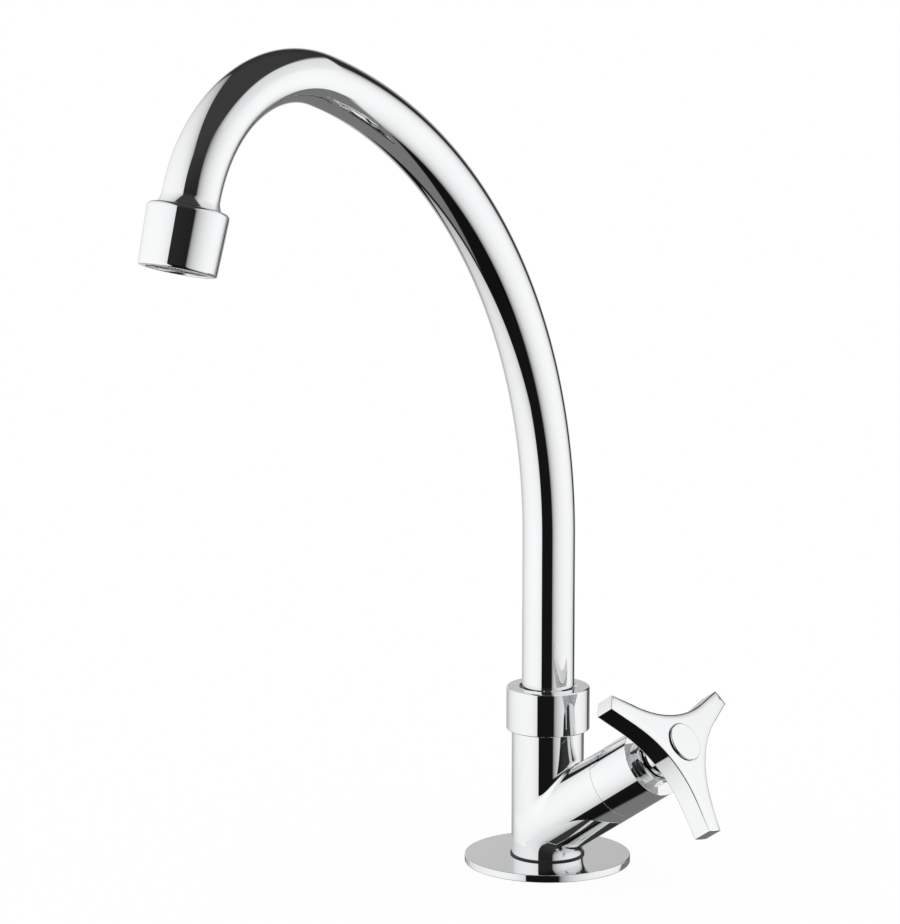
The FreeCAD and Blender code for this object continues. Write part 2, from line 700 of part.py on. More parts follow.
for edge in range(6):
    hexagon.addConstraint(Sketcher.Constraint("Coincident", edge, 2, (edge + 1) % 6, 1))
    across = "housing_hex_flats / 2 / cos(30 deg) * cos(%d deg)" % (60 * edge)
    up = "housing_hex_flats / 2 / cos(30 deg) * sin(%d deg)" % (60 * edge)
    pin(hexagon, edge, 1, across, up if edge % 3 else "0")
hexagon.addConstraint(Sketcher.Constraint("Coincident", 6, 3, -1, 1))
set_size(hexagon, bound(STEM_HOLE), "Radius", 6, measure(STEM_HOLE))
hex_pad = housing.newObject("PartDesign::Pad", "spanner_hex")
hex_pad.Profile = hexagon
hex_pad.setExpression("Length", bound("housing_hex_height"))
window = bore(housing, "water_window", band("housing_bore_radius", "housing_radius", "window_start",
                                            "window_start + window_length"), "window_angle")
pattern(housing, window, "water_windows", "2")

on_branch(turned("headwork_gasket", band("headwork_thread_radius", "housing_flange_radius",
                                         "branch_end", FLANGE_START)))
on_branch(turned("lip_seal", band("disc_radius - lip_seal_band", "disc_radius",
                                  "valve_seat", DISC_FACE)))


def ceramic_disc(name, face, plane):
    """Make a lapped disc with two facing ports that are centred on one plane."""
    far_face = "%s + disc_thick" % face
    disc = on_branch(turned(name, band("0", "disc_radius", face, far_face)))
    port = bore(disc, name + "_port", band("port_inner_radius", "port_outer_radius", face,
                                           far_face), "port_angle", plane)
    pattern(disc, port, name + "_ports", "2")
    return disc


# The two discs close the water way when their ports lie crosswise, as they do at rest
ceramic_disc("fixed_disc", DISC_FACE, "XZ_Plane")
ceramic_disc("moving_disc", MOVING_FACE, "YZ_Plane")
on_branch(turned("thrust_washer", band(STEM_HOLE, "disc_radius", WASHER_FACE, HOUSING_SHELF)))

# Spindle: a driver plate on the moving disc, a sealed stem and a splined end for the handle
STEM_GROOVE = "(stem_radius - stem_groove_depth)"
CLIP_FACE = "(housing_neck_end + running_gap)"
CLIP_END = "(%s + circlip_thick)" % CLIP_FACE
CLIP_GROOVE = "(stem_radius - circlip_groove_depth)"
SCREW_TIP = "(screw_seat - screw_length)"
spindle = on_branch(turned("spindle", [
    ("0", DRIVER_FACE),
    ("disc_radius", DRIVER_FACE),
    ("disc_radius", DRIVER_END),
    ("stem_radius", DRIVER_END),
    ("stem_radius", CLIP_FACE),
    (CLIP_GROOVE, CLIP_FACE),
    (CLIP_GROOVE, CLIP_END),
    ("stem_radius", CLIP_END),
    ("stem_radius", "hub_start"),
    ("spline_root_radius", "hub_start"),
    ("spline_root_radius", "spline_end"),
    ("0", "spline_end"),
]))
for number in range(2):
    place = "stem_ring_place + %d * stem_ring_pitch" % number
    bore(spindle, "stem_groove_%d" % (number + 1),
         band(STEM_GROOVE, "stem_radius", place, place + " + ring_groove_length"))


def spline_tooth(body, kind, name, gap, bottom, length):
    """Add or cut one spline tooth, then repeat it round the axis."""
    doc.recompute()
    sketch = sketch_on(body, name + "_outline", "XY_Plane", bottom)
    root = "(spline_root_radius - spline_sink + %s)" % gap
    tip = "(spline_tip_radius + %s)" % gap
    half = "(spline_root_radius + %s) * sin(spline_tooth_share * 180 deg / spline_teeth)" % gap
    ends = [(root, "-%s" % half), (tip, "0"), (root, half)]
    points = [FreeCAD.Vector(measure(across), measure(up), 0) for across, up in ends]
    for edge, (across, up) in enumerate(ends):
        sketch.addGeometry(Part.LineSegment(points[edge], points[(edge + 1) % 3]))
    for edge, (across, up) in enumerate(ends):
        sketch.addConstraint(Sketcher.Constraint("Coincident", edge, 2, (edge + 1) % 3, 1))
        pin(sketch, edge, 1, across, up)
    tooth = body.newObject("PartDesign::" + kind, name)
    tooth.Profile = sketch
    tooth.Reversed = kind == "Pocket"
    tooth.setExpression("Length", bound(length))
    pattern(body, tooth, name + "s", "spline_teeth")


spline_tooth(spindle, "Pad", "spline_tooth", "0", "hub_start", "spline_end - hub_start")
bore(spindle, "screw_tapping", band("0", "screw_radius", SCREW_TIP, "spline_end"))

STEM_SEAL = "(%s - seal_gap)" % STEM_HOLE
on_branch(o_rings("stem_o_rings", STEM_GROOVE, STEM_SEAL, "stem_ring_place", "stem_ring_pitch"))
on_branch(turned("stem_circlip", band(CLIP_GROOVE, "%s + circlip_band" % CLIP_GROOVE,
                                      CLIP_FACE, CLIP_END)))

# Handle: three tapering arms with hollow sides between them, on a short round hub
handle = on_branch(piece(doc.addObject("PartDesign::Body", "handle"), "handle"))
star = sketch_on(handle, "arm_outline", "XY_Plane", "handle_back")
star.AttachmentOffset = FreeCAD.Placement(
    FreeCAD.Vector(0, 0, 1), FreeCAD.Rotation(FreeCAD.Vector(0, 0, 1), 45))
star.setExpression(".AttachmentOffset.Base.z", bound("handle_back"))
star.setExpression(".AttachmentOffset.Rotation.Angle", bound("handle_rest_turn"))
tip_radius = measure("handle_tip_radius")
half_width = measure("handle_tip_width") / 2
waist = measure("handle_waist_radius")
taper = math.radians(measure("handle_taper"))
half_share = math.pi / measure("handle_arms")
tip_angle = math.asin(half_width / tip_radius)
tip_x = tip_radius * math.cos(tip_angle)
# The hollow's centre lies on the line midway between two arms, and its arc touches the arm's side
hollow_reach = ((waist - tip_x * math.sin(taper) - half_width * math.cos(taper))
                / (1 - math.cos(half_share) * math.sin(taper)
                   - math.sin(half_share) * math.cos(taper)))
hollow_radius = hollow_reach - waist


def mirrored(x, y):
    """A point above the arm's middle line and its twin below."""
    return FreeCAD.Vector(x, y, 0), FreeCAD.Vector(x, -y, 0)


hollow_top, hollow_low = mirrored(hollow_reach * math.cos(half_share),
                                  hollow_reach * math.sin(half_share))
touch_top, touch_low = mirrored(hollow_top.x - hollow_radius * math.sin(taper),
                                hollow_top.y - hollow_radius * math.cos(taper))
waist_top, waist_low = mirrored(waist * math.cos(half_share), waist * math.sin(half_share))
corner_top, corner_low = mirrored(tip_x, half_width)
hub_centre = FreeCAD.Vector(0, 0, 0)
star.addGeometry(Part.ArcOfCircle(
    Part.Circle(hub_centre, normal, tip_radius), -tip_angle, tip_angle))
star.addGeometry(Part.LineSegment(corner_top, touch_top))
star.addGeometry(Part.ArcOfCircle(Part.Circle(hollow_top, normal, hollow_radius),
                                  math.pi + half_share, 3 * math.pi / 2 - taper))
star.addGeometry(Part.LineSegment(waist_top, hub_centre))
star.addGeometry(Part.LineSegment(hub_centre, waist_low))
star.addGeometry(Part.ArcOfCircle(Part.Circle(hollow_low, normal, hollow_radius),
                                  math.pi / 2 + taper, math.pi - half_share))
star.addGeometry(Part.LineSegment(touch_low, corner_low))
TIP, TOP_SIDE, TOP_HOLLOW, TOP_SPOKE, LOW_SPOKE, LOW_HOLLOW, LOW_SIDE = range(7)
START, END, CENTRE = range(1, 4)
for constraint in (
        ("Coincident", TIP, CENTRE, -1, 1),
        ("Coincident", TIP, END, TOP_SIDE, START),
        ("Tangent", TOP_SIDE, END, TOP_HOLLOW, END),
        ("Coincident", TOP_HOLLOW, START, TOP_SPOKE, START),
        ("Coincident", TOP_SPOKE, END, -1, 1),
        ("Coincident", LOW_SPOKE, START, -1, 1),
        ("Coincident", LOW_SPOKE, END, LOW_HOLLOW, END),
        ("Tangent", LOW_HOLLOW, START, LOW_SIDE, START),
        ("Coincident", LOW_SIDE, END, TIP, START),
        ("PointOnObject", TOP_HOLLOW, CENTRE, TOP_SPOKE),
        ("PointOnObject", LOW_HOLLOW, CENTRE, LOW_SPOKE),
        ("Symmetric", TIP, START, TIP, END, -1)):
    star.addConstraint(Sketcher.Constraint(*constraint))
set_size(star, bound("handle_tip_radius"), "Radius", TIP, tip_radius)
set_size(star, bound("handle_tip_width"), "DistanceY", TIP, START, TIP, END, 2 * half_width)
set_size(star, bound("handle_waist_radius"), "Distance", TOP_SPOKE, waist)
set_size(star, bound("handle_waist_radius"), "Distance", LOW_SPOKE, waist)
set_size(star, bound("180 deg / handle_arms"), "Angle", -1, 1, TOP_SPOKE, END, half_share)
set_size(star, bound("180 deg / handle_arms"), "Angle", LOW_SPOKE, START, -1, 1, half_share)
set_size(star, bound("handle_taper * 1 deg"), "Angle", TOP_SIDE, END, -1, 1, taper)
set_size(star, bound("handle_taper * 1 deg"), "Angle", -1, 1, LOW_SIDE, START, taper)
arm = handle.newObject("PartDesign::Pad", "arm")
arm.Profile = star
arm.setExpression("Length", bound("handle_front - handle_back"))
pattern(handle, arm, "arms", "handle_arms")

hub = turn(handle, "Revolution", "hub", outline(handle, "hub_outline", [
    ("0", "hub_start"),
    ("hub_radius - hub_chamfer", "hub_start"),
    ("hub_radius", "hub_start + hub_chamfer"),
    ("hub_radius", "handle_back + cut_margin"),
    ("0", "handle_back + cut_margin"),
]))
doc.recompute()

# The front is a very shallow dome
dome = sketch_on(handle, "dome_outline", "XZ_Plane")
crown_radius = measure("handle_crown_radius")
front = measure("handle_front")
margin = measure("cut_margin")
crown_reach = tip_radius + margin
crown_centre = FreeCAD.Vector(0, front - crown_radius, 0)
crown_angle = math.acos(crown_reach / crown_radius)
rim = FreeCAD.Vector(crown_reach, crown_centre.y + crown_radius * math.sin(crown_angle), 0)
dome.addGeometry(Part.ArcOfCircle(
    Part.Circle(crown_centre, normal, crown_radius), crown_angle, math.pi / 2))
dome.addGeometry(Part.LineSegment(rim, FreeCAD.Vector(crown_reach, front + margin, 0)))
dome.addGeometry(Part.LineSegment(
    FreeCAD.Vector(crown_reach, front + margin, 0), FreeCAD.Vector(0, front + margin, 0)))
dome.addGeometry(Part.LineSegment(
    FreeCAD.Vector(0, front + margin, 0), FreeCAD.Vector(0, front, 0)))
dome.addConstraint(Sketcher.Constraint("PointOnObject", 0, CENTRE, -2))
for constraint in (
        ("Coincident", 0, START, 1, START),
        ("Coincident", 1, END, 2, START),
        ("Coincident", 2, END, 3, START),
        ("Coincident", 3, END, 0, END),
        ("Vertical", 1)):
    dome.addConstraint(Sketcher.Constraint(*constraint))
pin(dome, 3, START, "0", "handle_front + cut_margin")
pin(dome, 3, END, "0", "handle_front")
pin(dome, 1, END, "handle_tip_radius + cut_margin", "handle_front + cut_margin")
set_size(dome, bound("handle_crown_radius"), "Radius", 0, crown_radius)
before = handle.Tip.Shape.Volume
turn(handle, "Groove", "dome", dome)
cut_must_bite(handle, before, "dome")

SOCKET_END = "(hub_start + socket_depth)"
bore(handle, "spindle_socket", [
    ("0", "hub_start"),
    ("spline_root_radius + spline_gap", "hub_start"),
    ("spline_root_radius + spline_gap", SOCKET_END),
    ("screw_radius + screw_hole_gap", SOCKET_END),
    ("screw_radius + screw_hole_gap", "screw_seat"),
    ("cap_plug_radius", "screw_seat"),
    ("cap_plug_radius", "cap_seat"),
    ("cap_radius + cap_groove", "cap_seat"),
    ("cap_radius + cap_groove", "handle_front + cut_margin"),
    ("0", "handle_front + cut_margin"),
])
spline_tooth(handle, "Pocket", "socket_tooth", "spline_gap", "hub_start", "socket_depth")

# Screw that holds the handle on the spindle, with a hexagon socket for its key
SCREW_TOP = "(screw_seat + screw_head_height)"
screw = on_branch(turned("handle_screw", [
    ("0", SCREW_TIP),
    ("screw_radius", SCREW_TIP),
    ("screw_radius", "screw_seat"),
    ("screw_head_radius", "screw_seat"),
    ("screw_head_radius", SCREW_TOP),
    ("0", SCREW_TOP),
]))
key_hole = sketch_on(screw, "key_outline", "XY_Plane", SCREW_TOP)
key_corner = measure("screw_key_flats / 2 / cos(30 deg)")
key_points = [FreeCAD.Vector(key_corner * math.cos(math.radians(60 * i)),
                             key_corner * math.sin(math.radians(60 * i)), 0) for i in range(6)]
for edge in range(6):
    key_hole.addGeometry(Part.LineSegment(key_points[edge], key_points[(edge + 1) % 6]))
for edge in range(6):
    key_hole.addConstraint(Sketcher.Constraint("Coincident", edge, 2, (edge + 1) % 6, 1))
    across = "screw_key_flats / 2 / cos(30 deg) * cos(%d deg)" % (60 * edge)
    up = "screw_key_flats / 2 / cos(30 deg) * sin(%d deg)" % (60 * edge)
    pin(key_hole, edge, 1, across, up if edge % 3 else "0")
doc.recompute()
before = screw.Tip.Shape.Volume
key = screw.newObject("PartDesign::Pocket", "key_socket")
key.Profile = key_hole
key.setExpression("Length", bound("screw_key_depth"))
cut_must_bite(screw, before, "key_socket")

# Blank cap in the middle of the handle, over the screw
CAP_TOP = "(handle_front + cap_proud)"
index_cap = on_branch(turned("index_cap", [
    ("0", "cap_seat - cap_plug_length"),
    ("cap_plug_radius", "cap_seat - cap_plug_length"),
    ("cap_plug_radius", "cap_seat"),
    ("cap_radius", "cap_seat"),
    ("cap_radius", CAP_TOP),
    ("0", CAP_TOP),
]))
doc.recompute()
cap_blank = index_cap.Tip
rim_radius = measure("cap_radius")
rim_height = measure(CAP_TOP)
rims = ["Edge%d" % (number + 1) for number, edge in enumerate(cap_blank.Shape.Edges)
        if hasattr(edge.Curve, "Radius")
        and abs(edge.Curve.Radius - rim_radius) < 0.001
        and abs(edge.Curve.Center.z - rim_height) < 0.001]
rounding = index_cap.newObject("PartDesign::Fillet", "cap_rounding")
rounding.Base = (cap_blank, rims)
rounding.setExpression("Radius", bound("cap_edge_round"))
doc.recompute()

# Every feature must have built, and every piece must be a sound solid, before it is written
for obj in doc.Objects:
    if "Invalid" in obj.State or "Error" in obj.State:
        raise RuntimeError("%s failed: %s" % (obj.Label, obj.State))
os.makedirs("parts", exist_ok=True)
for obj in pieces:
    shape = obj.Shape
    if shape.isNull() or not shape.isValid() or not shape.Solids:
        raise RuntimeError(obj.Label + " is not a sound solid")
    shape.exportStep(os.path.join("parts", obj.Label + ".step"))
    box = shape.BoundBox
    print("%-18s solids %d  volume %10.2f  z %8.2f to %8.2f" % (
        obj.Label, len(shape.Solids), shape.Volume, box.ZMin, box.ZMax))

section_area = math.pi * (measure("tube_radius") ** 2 - measure("tube_radius - tube_wall") ** 2)
tube_length = (rise_height - start_height + wide_radius * rise_turn
               + crook_radius * (full_turn - rise_turn) + run)
print("tube volume %.1f, section times length %.1f" % (
    spout_tube.Shape.Volume, section_area * tube_length))
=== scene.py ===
"""Looks of a single kitchen tap with a swan-neck spout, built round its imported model.

The sections follow the tap as it is put together: the deck plate, the shank and its clamping set,
the body, the spout and its aerator, the valve, and last the handle. Lengths are in metres, and MM
turns a drawing's millimetres into them.
"""
import json
import math

import bpy
from mathutils import Matrix, Vector


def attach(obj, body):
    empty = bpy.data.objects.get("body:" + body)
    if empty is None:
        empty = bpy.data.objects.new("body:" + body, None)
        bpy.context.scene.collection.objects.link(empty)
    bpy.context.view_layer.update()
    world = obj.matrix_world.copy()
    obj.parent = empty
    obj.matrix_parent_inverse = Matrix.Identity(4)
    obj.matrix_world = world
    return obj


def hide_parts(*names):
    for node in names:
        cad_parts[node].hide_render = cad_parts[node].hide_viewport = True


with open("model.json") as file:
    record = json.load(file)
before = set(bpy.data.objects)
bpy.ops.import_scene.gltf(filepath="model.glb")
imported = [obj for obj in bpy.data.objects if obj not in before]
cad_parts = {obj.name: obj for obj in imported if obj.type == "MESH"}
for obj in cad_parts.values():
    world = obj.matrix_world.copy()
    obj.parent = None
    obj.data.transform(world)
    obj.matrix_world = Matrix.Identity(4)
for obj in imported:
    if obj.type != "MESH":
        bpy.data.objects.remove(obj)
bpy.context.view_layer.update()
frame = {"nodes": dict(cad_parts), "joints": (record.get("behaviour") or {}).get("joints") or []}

bpy.ops.object.select_all(action="DESELECT")
bpy.context.scene.view_settings.view_transform = "Standard"
MM = 0.001
UP = Vector((0, 0, 1))
nodes = frame["nodes"]
joints = {joint["name"]: joint for joint in frame["joints"]}

# Camera
# It stands in front and to the right of the tap, a little above the spout, and looks slightly down.
CAMERA_PLACE = Vector((0.8600, -1.1096, 0.3985))
CAMERA_TURN = math.radians(39.23)
CAMERA_PITCH = math.radians(10.13)
CAMERA_LENS = 154.7
SENSOR_WIDTH = 36
FARTHEST_SEEN = 20
bpy.ops.object.camera_add(
    location=CAMERA_PLACE, rotation=(math.pi / 2 - CAMERA_PITCH, 0, CAMERA_TURN))
camera = bpy.context.object
camera.data.lens = CAMERA_LENS
camera.data.sensor_width = SENSOR_WIDTH
camera.data.clip_end = FARTHEST_SEEN
bpy.context.scene.camera = camera

# Floor and studio light
# A white floor keeps a faint contact shadow. Mirrors see white panels left, right, behind and over
# the handle, and a grey bench, with dark gaps that give polished chrome its stripes.
FLOOR_SIZE = 8.0
FLOOR_WHITE = (0.96, 0.96, 0.96, 1)
FLOOR_GLOW = 1.02
SHADOW_SHARE = 0.10
CEILING_GREY = 0.052
GAP_GREY = 0.0085
PIT_GREY = 0.007
# The studio's darkness for mirrors, from straight down at 0 to straight up at 1
DARKNESS = ((0.05, PIT_GREY), (0.10, GAP_GREY), (0.50, GAP_GREY), (0.90, CEILING_GREY))
ROOM_LIGHT = 0.85
MIRROR_LIGHT = 1.17


def new_material(name):
    """Start a material with an empty node tree and its output."""
    material = bpy.data.materials.new(name)
    material.use_nodes = True
    material.node_tree.nodes.clear()
    material.node_tree.nodes.new("ShaderNodeOutputMaterial")
    return material


def set_inputs(node, **values):
    """Give a node's inputs their values; _ stands for a space."""
    for name, value in values.items():
        node.inputs[name.replace("_", " ")].default_value = value
    return node


def add_node(tree, kind, **values):
    """Add a shader node with its input values."""
    return set_inputs(tree.nodes.new("ShaderNode" + kind), **values)


def wire(tree, source, socket, target, into):
    """Join one node's output to another node's input."""
    tree.links.new(source.outputs[socket], target.inputs[into])


def calculate(tree, operation, first, second=None, third=None):
    """Add a Math node; each value is a number or an output socket."""
    node = add_node(tree, "Math")
    node.operation = operation
    for place, value in enumerate((first, second, third)):
        if value is None:
            continue
        if isinstance(value, (int, float)):
            node.inputs[place].default_value = value
        else:
            tree.links.new(value, node.inputs[place])
    return node.outputs[0]


bpy.ops.mesh.primitive_plane_add(size=FLOOR_SIZE)
floor = bpy.context.object
floor.name = "floor"
white_floor = new_material("white_floor")
tree = white_floor.node_tree
lit = add_node(tree, "BsdfDiffuse", Color=FLOOR_WHITE)
glow = add_node(tree, "Emission", Strength=FLOOR_GLOW)
mixed = add_node(tree, "MixShader", Fac=SHADOW_SHARE)
wire(tree, glow, "Emission", mixed, 1)
wire(tree, lit, "BSDF", mixed, 2)
wire(tree, mixed, "Shader", tree.nodes["Material Output"], "Surface")
floor.data.materials.append(white_floor)
floor.visible_glossy = False


def glowing_plane(name, middle, turn, half_sizes, middle_glow, slopes, falls, soft):
    """Add a plane of light that only mirrors see.

    slopes are how much more it glows at its local X and Y ends than in the middle, falls how much
    less it glows at both ends of each, and soft the width over which its edges turn clear.
    """
    bpy.ops.mesh.primitive_plane_add(size=2, location=middle, rotation=turn)
    panel = bpy.context.object
    panel.name = name
    panel.scale = (half_sizes[0] + soft / 2, half_sizes[1] + soft / 2, 1)
    material = new_material(name)
    tree = material.node_tree
    place = add_node(tree, "TexCoord")
    split = add_node(tree, "SeparateXYZ")
    wire(tree, place, "Object", split, "Vector")
    strength = middle_glow
    fades = []
    for label, half, slope, fall in zip("XY", half_sizes, slopes, falls):
        edge = soft / 2 / half
        way = calculate(tree, "MULTIPLY", split.outputs[label], 1 + edge)
        strength = calculate(tree, "MULTIPLY_ADD", way, slope, strength)
        square = calculate(tree, "MULTIPLY", way, way)
        strength = calculate(tree, "MULTIPLY_ADD", square, -fall, strength)
        fade = add_node(tree, "MapRange", From_Min=1 - edge, From_Max=1 + edge, To_Min=1, To_Max=0)
        fade.interpolation_type = "SMOOTHSTEP"
        tree.links.new(calculate(tree, "ABSOLUTE", way), fade.inputs["Value"])
        fades.append(fade.outputs["Result"])
    strength = calculate(tree, "MULTIPLY", calculate(tree, "MAXIMUM", strength, 0), MIRROR_LIGHT)
    glow = add_node(tree, "Emission")
    tree.links.new(strength, glow.inputs["Strength"])
    clear = add_node(tree, "BsdfTransparent")
    mix = add_node(tree, "MixShader")
    tree.links.new(calculate(tree, "MULTIPLY", *fades), mix.inputs["Fac"])
    wire(tree, clear, "BSDF", mix, 1)
    wire(tree, glow, "Emission", mix, 2)
    wire(tree, mix, "Shader", tree.nodes["Material Output"], "Surface")
    panel.data.materials.append(material)
    panel.visible_camera = False
    panel.visible_diffuse = False
    panel.visible_shadow = False


def standing_panel(name, azimuth, distance, sides, heights, glow, slopes, falls, soft):
    """Stand a panel round the tap, at an azimuth counted anticlockwise from the camera."""
    facing = CAMERA_TURN - math.pi / 2 + math.radians(azimuth)
    outward = Vector((math.cos(facing), math.sin(facing), 0))
    sideways = Vector((-outward.y, outward.x, 0))
    middle = outward * distance + sideways * sum(sides) / 2 + UP * sum(heights) / 2
    half_sizes = ((sides[1] - sides[0]) / 2, (heights[1] - heights[0]) / 2)
    glowing_plane(name, middle, (math.pi / 2, 0, facing + math.pi / 2), half_sizes,
                  glow, slopes, falls, soft)


def level_panel(name, height, sides, depths, glow, slopes, falls, soft):
    """Lay a panel level; its sides run to the photograph's right and its depths away from it."""
    right = Vector((math.cos(CAMERA_TURN), math.sin(CAMERA_TURN), 0))
    away = Vector((-right.y, right.x, 0))
    middle = right * sum(sides) / 2 + away * sum(depths) / 2 + UP * height
    half_sizes = ((sides[1] - sides[0]) / 2, (depths[1] - depths[0]) / 2)
    glowing_plane(name, middle, (0, 0, CAMERA_TURN), half_sizes, glow, slopes, falls, soft)


standing_panel("left_panel", azimuth=-90.6, distance=0.40, sides=(-0.569, 0.688),
               heights=(-0.461, 0.900), glow=1.01, slopes=(0.129, -0.073),
               falls=(0.273, 0.487), soft=0.02)
standing_panel("right_panel", azimuth=73.6, distance=0.471, sides=(-0.773, 1.073),
               heights=(-1.077, 0.948), glow=0.96, slopes=(-0.058, 0.308),
               falls=(0.779, 0.572), soft=0.128)
standing_panel("back_panel", azimuth=170.6, distance=1.455, sides=(-0.417, 1.990),
               heights=(-1.043, 0.825), glow=0.648, slopes=(0.127, 0.308),
               falls=(0.328, 0.52), soft=0.5)
level_panel("top_panel", height=0.45, sides=(0.06, 0.52), depths=(-0.30, 0.13), glow=0.86,
            slopes=(0.12, 0), falls=(0, 0), soft=0.04)
level_panel("bench", height=-0.152, sides=(-0.203, 0.481), depths=(-0.045, 1.121), glow=0.181,
            slopes=(0, 0), falls=(0, 0), soft=0.02)

studio = bpy.data.worlds.new("studio")
bpy.context.scene.world = studio
studio.use_nodes = True
tree = studio.node_tree
tree.nodes.clear()
place = add_node(tree, "TexCoord")
split = add_node(tree, "SeparateXYZ")
wire(tree, place, "Generated", split, "Vector")
halved = calculate(tree, "MULTIPLY_ADD", split.outputs["Z"], 0.5, 0.5)
dark = add_node(tree, "ValToRGB")
for share, grey in DARKNESS:
    stop = dark.color_ramp.elements.new(share)
    stop.color = (grey, grey, grey, 1)
dark.color_ramp.elements.remove(dark.color_ramp.elements[0])
dark.color_ramp.elements.remove(dark.color_ramp.elements[-1])
tree.links.new(halved, dark.inputs["Fac"])
rays = add_node(tree, "LightPath")
seen = add_node(tree, "Mix", A=ROOM_LIGHT)
wire(tree, rays, "Is Glossy Ray", seen, "Factor")
wire(tree, dark, "Color", seen, "B")
shown = add_node(tree, "Mix", B=1.0)
wire(tree, rays, "Is Camera Ray", shown, "Factor")
wire(tree, seen, "Result", shown, "A")
sky = add_node(tree, "Background", Color=(1, 1, 1, 1))
wire(tree, shown, "Result", sky, "Strength")
wire(tree, sky, "Background", tree.nodes.new("ShaderNodeOutputWorld"), "Surface")

# Base plate
# A turned brass disc, chromed and polished, that covers the hole in the worktop. The chrome here is
# the finish of every outside piece: a mirror with a faint ripple and a trace of polishing haze.
RING_STEPS = 144
WELD = 1e-6
POLE_RADIUS = 1e-5
SHARP_TURN = math.radians(20)
LONGEST_CUT = 0.45
EDGE_LIMIT = 30
PLATE_EDGE = 0.3 * MM
PLATE_HOLE_GAP = 0.3 * MM
CHROME_TINT = (0.80, 0.805, 0.81, 1)
CHROME_SHADE = (0.785, 0.79, 0.80, 1)
HAZE_LOW = 0.12
HAZE_HIGH = 0.42
SHEEN_BLOTCH = 0.6


def shader_group(name, inputs, outputs):
    """Start a node group; inputs and outputs are lists of (name, socket type, default)."""
    group = bpy.data.node_groups.new(name, "ShaderNodeTree")
    for label, kind, value in inputs:
        socket = group.interface.new_socket(label, in_out="INPUT", socket_type=kind)
        socket.default_value = value
    for label, kind in outputs:
        group.interface.new_socket(label, in_out="OUTPUT", socket_type=kind)
    return group, group.nodes.new("NodeGroupInput"), group.nodes.new("NodeGroupOutput")


FLOAT = "NodeSocketFloat"
# Ripple: soft waves that a buffed or moulded surface keeps
ripple_group, given, made = shader_group(
    "ripple",
    [("Scale", FLOAT, 60.0), ("Depth", FLOAT, 0.00001), ("Stretch", FLOAT, 1.0)],
    [("Normal", "NodeSocketVector")])
place = add_node(ripple_group, "TexCoord")
stretch = add_node(ripple_group, "VectorMath")
stretch.operation = "MULTIPLY"
factors = add_node(ripple_group, "CombineXYZ", X=1.0, Y=1.0)
wire(ripple_group, given, "Stretch", factors, "Z")
wire(ripple_group, place, "Object", stretch, 0)
wire(ripple_group, factors, "Vector", stretch, 1)
waves = add_node(ripple_group, "TexNoise", Detail=2.0)
wire(ripple_group, stretch, "Vector", waves, "Vector")
wire(ripple_group, given, "Scale", waves, "Scale")
bump = add_node(ripple_group, "Bump")
wire(ripple_group, given, "Depth", bump, "Distance")
wire(ripple_group, waves, "Fac", bump, "Height")
wire(ripple_group, bump, "Normal", made, "Normal")

# Haze: a value that wanders between two limits in soft blotches with fine grit on top
haze_group, given, made = shader_group(
    "haze",
    [("Scale", FLOAT, 40.0), ("Grit Scale", FLOAT, 2500.0), ("Low", FLOAT, 0.0),
     ("High", FLOAT, 1.0)],
    [("Value", FLOAT)])
place = add_node(haze_group, "TexCoord")
blotches = add_node(haze_group, "TexNoise", Detail=4.0)
wire(haze_group, place, "Object", blotches, "Vector")
wire(haze_group, given, "Scale", blotches, "Scale")
grit = add_node(haze_group, "TexNoise", Detail=1.0)
wire(haze_group, place, "Object", grit, "Vector")
wire(haze_group, given, "Grit Scale", grit, "Scale")
both = calculate(haze_group, "MULTIPLY", blotches.outputs["Fac"], grit.outputs["Fac"])
spread = add_node(haze_group, "MapRange", From_Min=HAZE_LOW, From_Max=HAZE_HIGH)
haze_group.links.new(both, spread.inputs["Value"])
wire(haze_group, given, "Low", spread, "To Min")
wire(haze_group, given, "High", spread, "To Max")
wire(haze_group, spread, "Result", made, "Value")


def place_group(tree, group, **values):
    """Put a shader group into a material with its own values."""
    node = add_node(tree, "Group")
    node.node_tree = group
    return set_inputs(node, **values)


def two_tone(tree, light, dark, mask):
    """Mix two colours by a mask socket."""
    mix = add_node(tree, "Mix")
    mix.data_type = "RGBA"
    set_inputs(mix, A=light, B=dark)
    tree.links.new(mask, mix.inputs["Factor"])
    return mix.outputs["Result"]


def metal(name, light, dark, rough, ripple, stretch=1.0, blotch=40.0):
    """A metal whose colour and roughness wander between two values; ripple is (scale, depth)."""
    material = new_material(name)
    tree = material.node_tree
    surface = add_node(tree, "BsdfPrincipled", Metallic=1.0)
    tone = place_group(tree, haze_group, Scale=blotch, Low=0.0, High=1.0)
    tree.links.new(two_tone(tree, light, dark, tone.outputs["Value"]),
                   surface.inputs["Base Color"])
    sheen = place_group(
        tree, haze_group, Scale=blotch * SHEEN_BLOTCH, Low=rough[0], High=rough[1])
    wire(tree, sheen, "Value", surface, "Roughness")
    waves = place_group(tree, ripple_group, Scale=ripple[0], Depth=ripple[1], Stretch=stretch)
    wire(tree, waves, "Normal", surface, "Normal")
    wire(tree, surface, "BSDF", tree.nodes["Material Output"], "Surface")
    return material


def moulded(name, light, dark, rough, ripple, specular=0.5, blotch=120.0):
    """A rubber, plastic or ceramic whose colour wanders between two tones."""
    material = metal(name, light, dark, rough, ripple, blotch=blotch)
    set_inputs(material.node_tree.nodes["Principled BSDF"], Metallic=0.0,
               Specular_IOR_Level=specular)
    return material


polished_chrome = metal("polished_chrome", CHROME_TINT, CHROME_SHADE,
                        rough=(0.008, 0.03), ripple=(70.0, 2e-6))


def span(node, base=Vector(), axis=UP):
    """A node's lowest and highest place along an axis, and its largest radius about it."""
    places = []
    radii = []
    for vertex in nodes[node].data.vertices:
        arm = vertex.co - base
        along = arm.dot(axis)
        places.append(along)
        radii.append((arm - axis * along).length)
    return min(places), max(places), max(radii)


